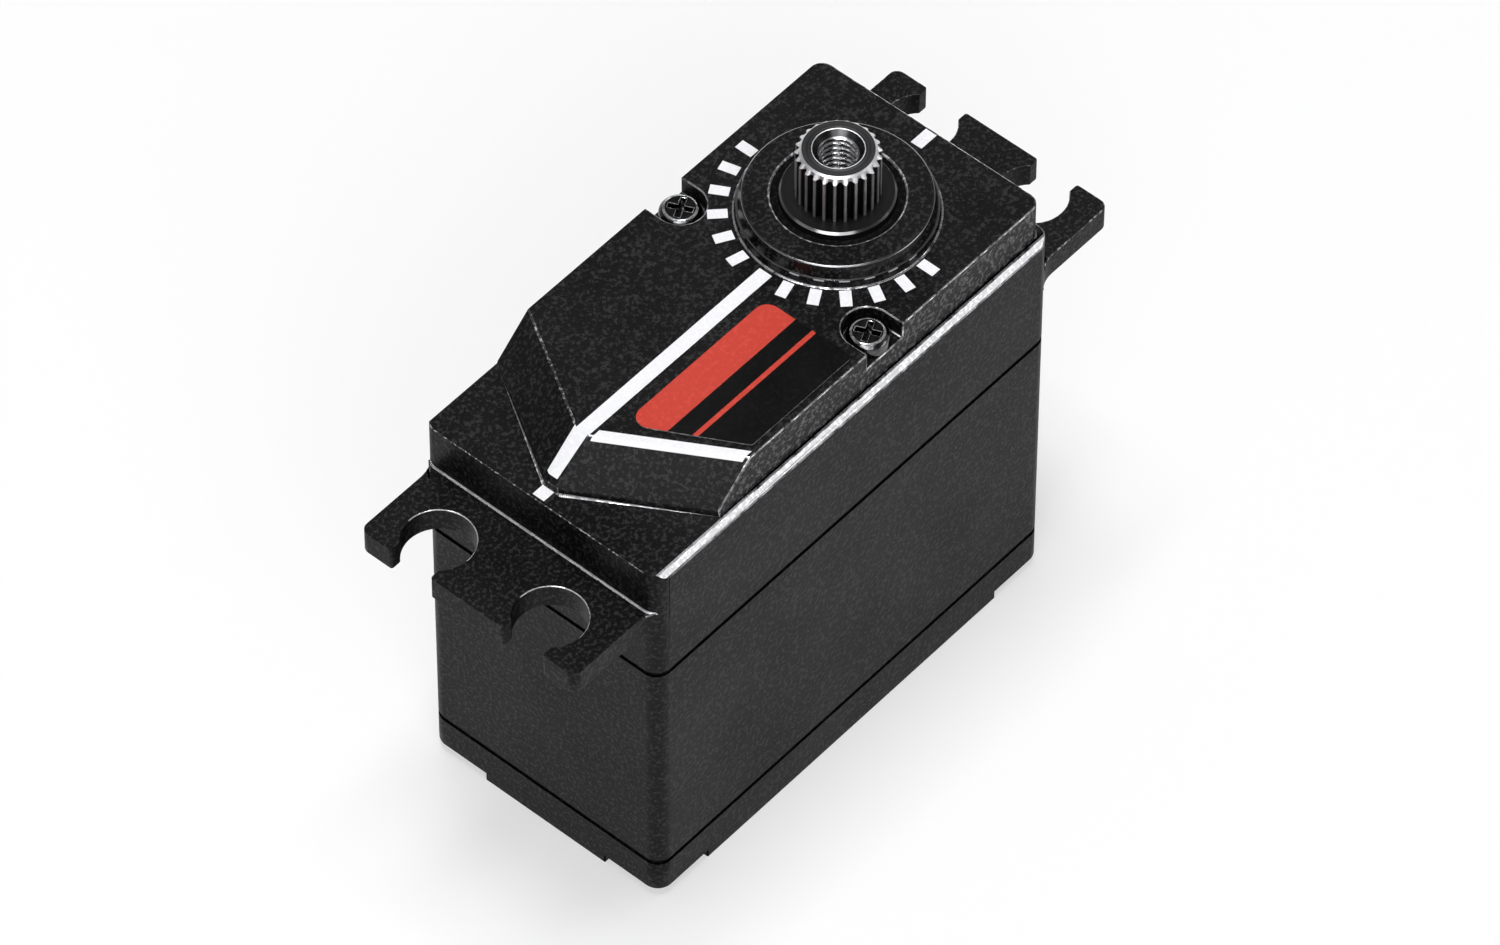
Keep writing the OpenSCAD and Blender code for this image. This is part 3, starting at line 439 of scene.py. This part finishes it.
caseEdges = {"flange": 0.07, "seam": 0.09, "top": 0.1, "foot": 0.08, "corner": 0.13, "slopeFoot": 0.16,
             "holeRim": 0.06, "end": 0.06, "bossHole": 0.15, "widest": 0.2}
near = 0.05  # closer than this, an edge lies on a face
soft = 0.2  # a rounded edge's faces lie within this of the edge
hollowX, hollowY = 18.74, 8.98  # half size of the space that the shells close round
skin = 1.3  # edges this close to the outside are rounded
coverFootZ = 1.0  # the cover's lowest edges lie under this
shoulderZ, slopeFootZ = 34.5, 35.15
shoulderRoofZ, roofZ = 33.0, 36.02  # undersides of the shoulder and the platform
gearRoomX = -4.6  # the high part of the gear room starts here
sealR = 6.05
bossR = 7.25
bossHoleR = 4.6
bossFootZ = platformZ + 0.5  # the boss's upper edges lie above this
wallHalf, wallFromX = 9.9, -10.2  # the platform's side walls
farWallY = 9.6  # beyond this are the far wall and its round corners
tipHalf = 1.0  # the platform's pointed end between its two slopes
endLineTo = -4.5  # the painted highlight line on the end of the shoulder stops here
flange = next(mount for mount in frame["record"]["mounts"] if mount["kind"] == "bolt_pattern")
flangeZ = flange["pos_m"][2] / mm  # top of the flanges
overFlangeZ = flangeZ + 0.4
holes = flange["dims"]
holeX, holeY, holeR = holes["spacing_x_mm"] / 2, holes["spacing_y_mm"] / 2, holes["hole_r_mm"]
upperFinishes = ["caseBlack", "caseEdge", "bareBevel", "caseSmooth", "seamAndShadeBlack", "wallPaintedLight", "lineHighlight",
                 "bossRim", "holeRim", "dashHighlight", "footHighlight"]
lowerFinishes = ["caseBlack", "seamAndShadeBlack"]


def fromHole(p):
    return math.hypot(abs(p.x) - holeX, abs(p.y) - holeY)


def fromShaft(p):
    return math.hypot(p.x - shaftX, p.y)


def onSkin(p):
    return abs(p.x) > caseHigh.x - skin or abs(p.y) > caseHigh.y - skin


def upperWidth(p):
    inside = abs(p.x) < hollowX and abs(p.y) < hollowY
    inRoom = p.z < shoulderRoofZ or p.x > gearRoomX and p.z < roofZ
    inSeat = fromShaft(p) < sealR and p.z < bossFootZ
    if inside and (inRoom or inSeat):
        return 0
    if p.z < seamZ + soft:
        return caseEdges["seam"]
    if p.z < overFlangeZ:
        if fromHole(p) < holeR + near:
            return caseEdges["holeRim"]
        inCorner = abs(p.x) < caseHigh.x + near and p.z > flangeZ - soft
        return caseEdges["corner"] if inCorner else caseEdges["flange"]
    if abs(abs(p.y) - wallHalf) < near and p.z < shoulderZ + near:
        return 0  # the foot of the side walls stays sharp and dark
    if p.x < gearRoomX and inside and p.z < platformZ - soft:
        return caseEdges["slopeFoot"] if p.z < shoulderZ + near else 0
    if fromShaft(p) < bossHoleR + near:
        return caseEdges["bossHole"]
    return caseEdges["end"] if p.x < -hollowX else caseEdges["top"]


def middleWidth(p):
    onSeam = onSkin(p) and abs(p.y) > hollowY or abs(p.x) > caseHigh.x - near
    return caseEdges["seam"] if onSeam else 0


def coverWidth(p):
    return caseEdges["foot"] if p.z < coverFootZ or onSkin(p) else 0


def upperFinish(p, normal):
    facesUp, facesAcross = normal.z > 0.98, abs(normal.y) > 0.98
    leans = abs(normal.y) > 0.5 and normal.z > 0.3 and abs(normal.x) < 0.01  # out and up, not to the ends
    if leans and abs(p.y) > hollowY and p.z > overFlangeZ:
        return "bareBevel"
    # painted light on the platform's side walls
    if facesAcross and abs(abs(p.y) - wallHalf) < near and p.z > shoulderZ:
        return "wallPaintedLight"
    if facesUp and abs(p.z - shoulderZ) < near and abs(p.y) > wallHalf and p.x > wallFromX:
        return "seamAndShadeBlack"  # painted shadow: the strip between wall and bevel is coloured near black
    onBoss = fromShaft(p) < bossR and p.z > platformZ and not facesUp
    return "caseSmooth" if onBoss else "caseBlack"


# Painted highlights: hole rims and the corner by the wall take light finishes on the sides that catch the light
def flangeEdge(p):
    if p.z < flangeZ - soft:
        return "caseBlack"
    if fromHole(p) < holeR + soft:
        return "dashHighlight" if p.x > 0 else "lineHighlight" if p.x > -holeX else "caseBlack"
    if abs(p.x) < caseHigh.x + soft:
        return "lineHighlight"
    return "dashHighlight" if p.x > 0 and abs(p.y) > holeY + holeR else "caseBlack"


# Painted highlights: the nose's slope edges take light finishes where light catches them
def slopeEdge(p):
    if p.y > 0:
        return "dashHighlight" if p.z > platformZ - soft else "footHighlight"
    return "lineHighlight" if p.z < shoulderZ + soft else "caseEdge"


def upperEdge(p):
    if p.z < seamZ + soft:
        return "seamAndShadeBlack"
    if p.z < overFlangeZ:
        return flangeEdge(p)
    if fromShaft(p) < bossR and p.z > bossFootZ:
        return "holeRim" if fromShaft(p) < bossHoleR + soft else "bossRim"
    # painted highlight along the end's upper edges past endLineTo
    if p.x < -hollowX:
        return "caseBlack" if p.y < endLineTo else "dashHighlight"
    if p.y > farWallY:
        return "caseBlack"
    if p.x < gearRoomX and abs(p.y) > tipHalf and p.z > shoulderZ - soft:
        return slopeEdge(p)
    return "caseEdge"


# Cuts the shoulder along the walls, so that the strip beside them can have its own finish
def cutShoulder(bm):
    cuts = [((0, wallHalf, 0), (0, 1, 0)), ((0, -wallHalf, 0), (0, 1, 0)), ((wallFromX, 0, 0), (1, 0, 0))]
    for place, direction in cuts:
        level = [face for face in bm.faces if abs(face.calc_center_median().z - shoulderZ * mm) < weldGap]
        touched = {part for face in level for part in (*face.verts, *face.edges, face)}
        bmesh.ops.bisect_plane(bm, geom=list(touched), plane_co=Vector(place) * mm, plane_no=direction)


softenedCopy("upperShell", "upper_case", "case_black", upperFinishes, caseEdges["widest"], upperWidth,
             upperFinish, upperEdge, cutShoulder)
softenedCopy("middleShell", "middle_case", "case_black", lowerFinishes, caseEdges["widest"], middleWidth)
softenedCopy("bottomShell", "bottom_cover", "case_black", lowerFinishes, caseEdges["widest"], coverWidth)
print("case shells made")


# Output shaft with its spline and the threaded hole

shaftPlan = {
    "teeth": 25, "rootR": 2.64, "tipR": 2.96, "rootShare": 0.38, "tipShare": 0.1, "chamfer": 0.46,
    "splineLong": 4.15, "neckR": 4.0, "neckChamfer": 0.15, "shoulderR": 4.5,
    "threadPitch": 0.5, "threadMinorR": 1.25, "threadMajorR": 1.5, "threadTurns": 12, "threadLand": 1.35,
    "threadFlank": 3.6, "ringsPerTurn": 8, "runOut": 0.3, "mouthR": 1.8, "mouthLip": 0.02, "boreDeep": 9.0,
    "lowerR": 2.0, "lowerChamfer": 0.1, "seatHigh": 3.2, "seatR": 3.3, "seatFlat": 2.8, "magnetR": 1.4,
}
# Points across one tooth, as shares of the pitch
toothSteps = (-0.5, -0.44, -0.38, -0.3, -0.2, -0.1, -0.03, 0.03, 0.1, 0.2, 0.3, 0.38, 0.44)


def toothR(plan, step):
    share = (plan["rootShare"] - abs(step)) / (plan["rootShare"] - plan["tipShare"])
    return plan["rootR"] + (plan["tipR"] - plan["rootR"]) * min(1, max(0, share))


def threadR(plan, down, angle):
    turn = (down / plan["threadPitch"] + angle / (2 * math.pi)) % 1
    groove = min(1, max(0, plan["threadLand"] - abs(turn - 0.5) * plan["threadFlank"]))
    depth = (plan["threadMajorR"] - plan["threadMinorR"]) * groove
    return max(plan["threadMinorR"] + depth, plan["mouthR"] - down)


def seatR(plan, angle):
    overFlat = plan["seatR"] * abs(math.cos(angle)) / plan["seatFlat"]
    return plan["seatR"] / max(1, overFlat)


def makeShaft(plan):
    low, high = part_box("output_shaft")
    bottom, top = low.z / mm, high.z / mm
    neckZ = top - plan["splineLong"]
    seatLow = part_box("output_gear")[0].z / mm
    seatTop = seatLow + plan["seatHigh"]
    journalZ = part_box("upper_bearing_inner_ring")[0].z / mm
    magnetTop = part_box("sensor_magnet")[1].z / mm
    pitch = 2 * math.pi / plan["teeth"]
    places = [((tooth + step) * pitch, step) for tooth in range(plan["teeth"]) for step in toothSteps]

    def plain(radius):
        return [radius] * len(places)

    def spline(limit):
        return [min(toothR(plan, step), limit) for angle, step in places]

    def thread(z):
        return [threadR(plan, top - z, angle) for angle, step in places]

    seat = [seatR(plan, angle) for angle, step in places]
    tipLimit = plan["tipR"] - plan["chamfer"]
    rootZ = top - plan["rootR"] + tipLimit
    threadEnd = top - plan["threadTurns"] * plan["threadPitch"]
    threadStep = plan["threadPitch"] / plan["ringsPerTurn"]
    threadFrom = top - plan["mouthLip"]
    threadRings = [threadFrom - k * threadStep for k in range(plan["threadTurns"] * plan["ringsPerTurn"])]

    # height, radii and the finish of the faces up to the next ring
    rings = [(z, radii, "neckBlack") for z, radii in (
        (magnetTop, plain(plan["magnetR"])), (bottom, plain(plan["magnetR"])),
        (bottom, plain(plan["lowerR"] - plan["lowerChamfer"])),
        (bottom + plan["lowerChamfer"], plain(plan["lowerR"])), (seatLow, plain(plan["lowerR"])),
        (seatLow, seat), (seatTop, seat), (seatTop, plain(plan["shoulderR"])),
        (journalZ, plain(plan["shoulderR"])), (journalZ, plain(plan["neckR"])))]
    rings += [
        (neckZ - plan["neckChamfer"], plain(plan["neckR"]), "neckRim"),
        (neckZ, plain(plan["neckR"] - plan["neckChamfer"]), "neckBlack"),
        (neckZ, spline(plan["tipR"]), "splineSteel"),
        (top - plan["chamfer"], spline(plan["tipR"]), "shaftSteel"),
        (rootZ, spline(plan["rootR"]), "shaftSteel"),
        (top, spline(tipLimit), "shaftTop"),
        (top, plain(plan["mouthR"] + 2 * plan["mouthLip"]), "shaftSteel"),
    ]
    rings += [(z, thread(z), "threadSteel") for z in threadRings]
    for z in (threadEnd - plan["runOut"], top - plan["boreDeep"]):
        rings.append((z, plain(plan["threadMinorR"]), "threadSteel"))

    finishes = ["neckBlack", "splineSteel", "shaftSteel", "threadSteel", "shaftTop", "neckRim"]
    bm = bmesh.new()
    rims = []
    for z, radii, finish in rings:
        points = [(shaftX + r * math.cos(angle), r * math.sin(angle), z)
                  for r, (angle, step) in zip(radii, places)]
        rims.append([bm.verts.new(Vector(point) * mm) for point in points])
    for here, there, (z, radii, finish) in zip(rims, rims[1:], rings):
        for face in joinRims(bm, here, there):
            face.material_index = finishes.index(finish)
    bm.faces.new(rims[0][::-1])
    bm.faces.new(rims[-1]).material_index = finishes.index("threadSteel")
    bmesh.ops.recalc_face_normals(bm, faces=bm.faces)
    sharpenFlats(bm)
    addPiece("splinedShaft", bm, finishes, "output", "shaft_steel", "output_shaft")


makeShaft(shaftPlan)
print("shaft made")


# Polished band round the foot of the boss

bossBand = {"low": 0.48, "high": 0.72, "proud": 0.025, "chamfer": 0.05, "sunk": 0.15, "bossHigh": 1.7,
            "footR": 7.05, "topR": 6.55, "around": 180}


def makeBand(plan):
    lean = (plan["footR"] - plan["topR"]) / plan["bossHigh"]
    lowR, highR = (plan["footR"] - lean * plan[key] for key in ("low", "high"))
    bandR = lowR + plan["proud"]
    profile = [(lowR - plan["sunk"], plan["low"]), (lowR, plan["low"]),
               (bandR, plan["low"] + plan["chamfer"]), (bandR, plan["high"] - plan["chamfer"]),
               (highR, plan["high"]), (highR - plan["sunk"], plan["high"])]
    bm = bmesh.new()
    rims = []
    for k in range(plan["around"]):
        angle = 2 * math.pi * k / plan["around"]
        points = [(shaftX + r * math.cos(angle), r * math.sin(angle), platformZ + z) for r, z in profile]
        rims.append([bm.verts.new(Vector(point) * mm) for point in points])
    for here, there in zip(rims, rims[1:] + rims[:1]):
        joinRims(bm, here, there)
    bmesh.ops.recalc_face_normals(bm, faces=bm.faces)
    sharpenFlats(bm)
    addPiece("bossBand", bm, ["bandPolish"], "case", "case_black")


makeBand(bossBand)
print("boss band made")


# Printed marks on the platform, raised by the thickness of the ink

marks = {
    "ink": 0.02, "shift": (0.1, 0.15),
    "tickFrom": 7.4, "tickTo": 8.8, "tickWide": 0.82, "tickStep": 15, "ticksEachSide": 6,
    "frontFrom": 7.8, "frontTo": 9.4, "frontWide": 0.95, "frontSide": -0.35,
    "stripeWide": 1.1, "stripeFrom": 2.7, "stripeDown": 0.88,
    "ridgeTop": (-0.45, 0.75), "ridgeFoot": (-0.2, 0.8),
    "edgeFrom": 0.8, "edgeShort": 0.3, "edgeOnTop": 0.55, "edgeOnSlope": 0.36,
    "spotLong": 1.04, "spotWide": (-0.25, 0.75),
}


def inkSheet(bm, loop):
    bm.faces.new([bm.verts.new(Vector(p) * mm) for p in loop])


def finishInk(name, bm, finish, thickness):
    bmesh.ops.remove_doubles(bm, verts=bm.verts, dist=weldGap)
    bmesh.ops.recalc_face_normals(bm, faces=bm.faces)
    for face in bm.faces:
        if face.normal.z < 0:
            face.normal_flip()
    bmesh.ops.solidify(bm, geom=bm.faces[:], thickness=-thickness * mm)
    sharpenFlats(bm)
    addPiece(name, bm, [finish], "case", "case_black")


def tickOutline(middle, reach, wide, angle):
    along = Vector((math.cos(angle), math.sin(angle), 0))
    across = Vector((-along.y, along.x, 0))
    corners = [(reach[0], -wide / 2), (reach[1], -wide / 2), (reach[1], wide / 2), (reach[0], wide / 2)]
    return [middle + along * u + across * v for u, v in corners]


def makeScale(plan):
    middle = Vector((shaftX, 0, platformZ)) + Vector((*plan["shift"], 0))
    bm = bmesh.new()
    for side in (-1, 1):
        for k in range(1, plan["ticksEachSide"] + 1):
            angle = math.radians(180 + side * k * plan["tickStep"])
            inkSheet(bm, tickOutline(middle, (plan["tickFrom"], plan["tickTo"]), plan["tickWide"], angle))
    front = middle + Vector((0, plan["frontSide"], 0))
    inkSheet(bm, tickOutline(front, (plan["frontFrom"], plan["frontTo"]), plan["frontWide"], 0))
    finishInk("scaleMarks", bm, "printWhite", plan["ink"])


def noseCorners(height):
    points = [vert.co / mm for vert in nodes["upper_case"].data.vertices]
    level = [p for p in points if abs(p.z - height) < near and p.x < gearRoomX]
    tip = max((p for p in level if p.y < 0), key=lambda p: p.y)
    side = min(level, key=lambda p: p.y)
    return tip, side


def makeStripes(plan):
    tip, side = noseCorners(platformZ)
    lowTip = noseCorners(slopeFootZ)[0]
    lean = (side.x - tip.x) / (tip.y - side.y)

    def onNose(y, down):
        x = tip.x + max(0, abs(y) + tip.y) * lean
        return Vector((x, y, platformZ)) + Vector((lowTip.x - tip.x, 0, slopeFootZ - platformZ)) * down

    bm = bmesh.new()
    start, half = plan["stripeFrom"], plan["stripeWide"] / 2  # along the platform
    stripe = ((start, -half), (start, half), (tip.x, half), (tip.x, -half))
    inkSheet(bm, [(x, y, platformZ) for x, y in stripe])

    far = plan["stripeDown"]  # down the nose, in two sheets that meet on its corner
    sides = [(plan["ridgeTop"][0], plan["ridgeFoot"][0]), (-tip.y, -tip.y),
             (plan["ridgeTop"][1], plan["ridgeFoot"][1])]
    for (nearTop, nearFoot), (wideTop, wideFoot) in zip(sides, sides[1:]):
        inkSheet(bm, [onNose(nearTop, 0), onNose(wideTop, 0), onNose(wideFoot, far), onNose(nearFoot, far)])

    inward = Vector((plan["edgeOnTop"] * math.hypot(1, lean), 0, 0))  # along the edge of the near slope
    slopeLong = math.hypot(platformZ - slopeFootZ, (tip.x - lowTip.x) / math.hypot(1, lean))
    down = plan["edgeOnSlope"] / slopeLong
    start, end = -plan["edgeFrom"], side.y + plan["edgeShort"]
    inkSheet(bm, [onNose(start, 0), onNose(end, 0), onNose(end, 0) + inward, onNose(start, 0) + inward])
    inkSheet(bm, [onNose(start, 0), onNose(end, 0), onNose(end, down), onNose(start, down)])

    left, right = plan["spotWide"]  # on the shoulder below
    back = lowTip.x - plan["spotLong"]
    spot = ((back, left), (lowTip.x, left), (lowTip.x, right), (back, right))
    inkSheet(bm, [(x, y, shoulderZ) for x, y in spot])
    finishInk("stripes", bm, "printWhite", plan["ink"])


makeScale(marks)
makeStripes(marks)
print("marks made")


# Label: a red band and a thin red line on glossy black

labelPlan = {"bands": (-4.3, -5.76, -6.12), "endReach": 0.75, "sideReach": 0.2}


def makeLabel(plan):
    bm = bmesh.new()
    bm.from_mesh(nodes["top_label"].data)
    bmesh.ops.remove_doubles(bm, verts=bm.verts, dist=weldGap)
    middle = (labelLow + labelHigh) / 2 * mm
    for vert in bm.verts:  # the film comes closer to the stripes than its solid
        vert.co.y += math.copysign(plan["sideReach"] * mm, vert.co.y - middle.y)
        if vert.co.x < middle.x:
            vert.co.x -= plan["endReach"] * mm
    for y in plan["bands"]:
        everything = bm.verts[:] + bm.edges[:] + bm.faces[:]
        bmesh.ops.bisect_plane(bm, geom=everything, plane_co=(0, y * mm, 0), plane_no=(0, 1, 0))
    bm.normal_update()
    finishes = ["labelRed", "labelBlack", "labelEdge"]
    bandTo, lineFrom, lineTo = plan["bands"]
    for face in bm.faces:
        y = face.calc_center_median().y / mm
        finish = "labelRed" if y > bandTo or lineTo < y < lineFrom else "labelBlack"
        if abs(face.normal.z) < 0.5:  # the cut rim of the film
            finish = "labelEdge"
        face.material_index = finishes.index(finish)
    sharpenFlats(bm)
    addPiece("bandedLabel", bm, finishes, "case", "label_film", "top_label")


makeLabel(labelPlan)
print("label made")


# Screws on top and the lead's grommet

smallEdges = {"head": 0.1, "recess": 0.04, "grommet": 0.15}
screwLow, screwHigh = (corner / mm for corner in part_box("top_screws"))
headR = (screwHigh.x - screwLow.x) / 2
headLow, recessLow = screwHigh.z - 0.4, screwHigh.z - 0.1  # levels under the head's rim and the recess's
brightLow = screwHigh.z - 0.15  # only the upper rim and the recess are rubbed bright


def screwWidth(p):
    fromAxis = math.hypot(p.x - screwHigh.x + headR, abs(p.y) - screwHigh.y + headR)
    if fromAxis > headR * 0.7 and p.z > headLow:
        return smallEdges["head"]
    return smallEdges["recess"] if p.z > recessLow else 0


def screwEdge(p):
    return "screwEdge" if p.z > brightLow else "screwBlack"


def grommetWidth(p):
    return smallEdges["grommet"] if p.x > caseHigh.x + near else 0


softenedCopy("capScrews", "top_screws", "screw_steel", ["screwBlack", "screwEdge"], smallEdges["head"],
             screwWidth, edgeAt=screwEdge)
softenedCopy("softGrommet", "lead_grommet", "seal_rubber", ["sealRubber", "sealRubber"],
             smallEdges["grommet"], grommetWidth)
print("screws and grommet made")


# Finishes of the nodes that keep their own shape

nodeFinish = {
    "sealRubber": ("upper_gasket", "lower_gasket", "shaft_seal", "sensor_lead"),
    "screwBlack": ("case_screws", "motor_screws", "sensor_screws"),
    "gearSteel": ("output_gear", "first_gear_pinion", "second_gear_wheel", "second_gear_pinion",
                  "third_gear_wheel", "third_gear_pinion", "gear_pin", "rotor_shaft"),
    "gearAluminium": ("first_gear_wheel", "motor_front_cap"),
    "gearBrass": ("motor_pinion", "shaft_spacer", "gear_washers"),
    "bearingSteel": ("upper_bearing_outer_ring", "upper_bearing_inner_ring", "upper_bearing_balls",
                     "lower_bearing_outer_ring", "lower_bearing_inner_ring", "lower_bearing_balls",
                     "motor_bearings"),
    "motorSteel": ("motor_can", "stator_core"),
    "magnetGrey": ("rotor_magnet", "sensor_magnet"),
    "coilCopper": ("stator_coils",),
    "capPlastic": ("motor_rear_cap", "board_chips", "sensor_chip"),
    "boardGreen": ("circuit_board", "sensor_board"),
    "wireRed": ("motor_leads",),
}
for finish, names in nodeFinish.items():
    for name in names:
        nodes[name].data.materials.clear()
        nodes[name].data.materials.append(coats[finish])
print("node finishes set")


# Stage: floor, light and camera, with the camera's places in mm and other sizes in metres

studio = {
    "floorSize": 6.0, "floorColour": (0.98, 0.98, 0.98, 1), "floorRoughness": 0.9, "floorGlow": 0.5,
    "horizon": 0.40, "zenith": 0.12, "zenithFrom": 0.5, "lampAim": (0, 0, 0.02),
    "cameraPlace": (-348.68, -303.67, 574.44), "cameraAim": (1.26, 0.10, 18.0), "cameraRoll": 0.173,
    "lens": 253.49, "sensorWide": 36.0,
}
# Direction, distance, size, level, and whether it lights matt faces or only shows in shiny ones
softboxes = {
    "keyBox": ((0.477, -0.86, 0.18), 0.9, (0.5, 0.3), 3.6, False),
    "frontBox": ((-0.55, -0.58, 0.65), 1.0, (0.7, 0.5), 3.6, True),
    "topBox": ((0, 0.07, 1), 1.1, (0.4, 0.4), 17.0, True),
    "frontCard": ((-0.72, -0.28, 0.65), 1.0, (0.5, 0.4), 6.5, False),
    "backCard": ((0.55, 0.48, 0.3), 1.0, (1.0, 0.35), 2.6, False),
    "leftCard": ((-0.85, 0.3, 0.4), 1.0, (0.6, 0.5), 0.7, False),
}


def placeAimed(obj, place, aim, roll=0.0):
    bpy.context.scene.collection.objects.link(obj)
    obj.location = Vector(place)
    turn = (Vector(aim) - obj.location).to_track_quat("-Z", "Y")
    obj.rotation_mode = "QUATERNION"
    obj.rotation_quaternion = turn @ Matrix.Rotation(math.radians(roll), 3, "Z").to_quaternion()


def makeSoftbox(name, aim, direction, distance, size, level, lightsMatt):
    light = bpy.data.lights.new(name, "AREA")
    light.shape = "RECTANGLE"
    light.size, light.size_y = size
    light.energy = level * size[0] * size[1] * math.pi  # the box's face then glows at this level
    lamp = bpy.data.objects.new(name, light)
    lamp.visible_diffuse = lightsMatt
    placeAimed(lamp, Vector(aim) + Vector(direction).normalized() * distance, aim)


def makeFloor(plan):
    half = plan["floorSize"] / 2
    bm = bmesh.new()
    bm.faces.new([bm.verts.new((x * half, y * half, 0)) for x, y in ((-1, -1), (1, -1), (1, 1), (-1, 1))])
    mesh = bpy.data.meshes.new("floor")
    bm.to_mesh(mesh)
    bm.free()
    floor = bpy.data.objects.new("floor", mesh)
    bpy.context.scene.collection.objects.link(floor)
    surface = {"Base Color": plan["floorColour"], "Roughness": plan["floorRoughness"],
               "Specular IOR Level": 0}
    material, tree, shader = newMaterial("floorPale", **surface)
    glow = addNode(tree, "ShaderNodeEmission", {"Color": (1, 1, 1, 1), "Strength": 1.0})
    rays = addNode(tree, "ShaderNodeLightPath").outputs
    shown = joined(tree, "MAXIMUM", rays["Is Camera Ray"], rays["Is Glossy Ray"])
    shown = joined(tree, "MAXIMUM", shown, rays["Is Transmission Ray"])
    mix = addNode(tree, "ShaderNodeMixShader")
    tree.links.new(scaled(tree, shown, plan["floorGlow"]), mix.inputs[0])
    tree.links.new(shader.outputs[0], mix.inputs[1])
    tree.links.new(glow.outputs[0], mix.inputs[2])
    tree.links.new(mix.outputs[0], tree.nodes["Material Output"].inputs["Surface"])
    mesh.materials.append(material)


def makeWorld(plan):
    world = bpy.data.worlds.new("studioWorld")
    bpy.context.scene.world = world
    world.use_nodes = True
    tree = world.node_tree
    back = tree.nodes["Background"]
    split = addNode(tree, "ShaderNodeSeparateXYZ")
    tree.links.new(addNode(tree, "ShaderNodeTexCoord").outputs["Generated"], split.inputs[0])
    level = remapped(tree, split.outputs["Z"], 0.0, plan["zenithFrom"], plan["horizon"], plan["zenith"])
    back.inputs["Color"].default_value = (1, 1, 1, 1)
    tree.links.new(level, back.inputs["Strength"])


def makeCamera(plan):
    camera = bpy.data.objects.new("camera", bpy.data.cameras.new("camera"))
    placeAimed(camera, Vector(plan["cameraPlace"]) * mm, Vector(plan["cameraAim"]) * mm, plan["cameraRoll"])
    camera.data.lens = plan["lens"]
    camera.data.sensor_width = plan["sensorWide"]
    camera.data.sensor_fit = "HORIZONTAL"
    camera.data.clip_start = 0.01
    bpy.context.scene.camera = camera


makeFloor(studio)
makeWorld(studio)
for name, values in softboxes.items():
    makeSoftbox(name, studio["lampAim"], *values)
makeCamera(studio)
bpy.context.scene.view_settings.view_transform = "Standard"
print("stage set")
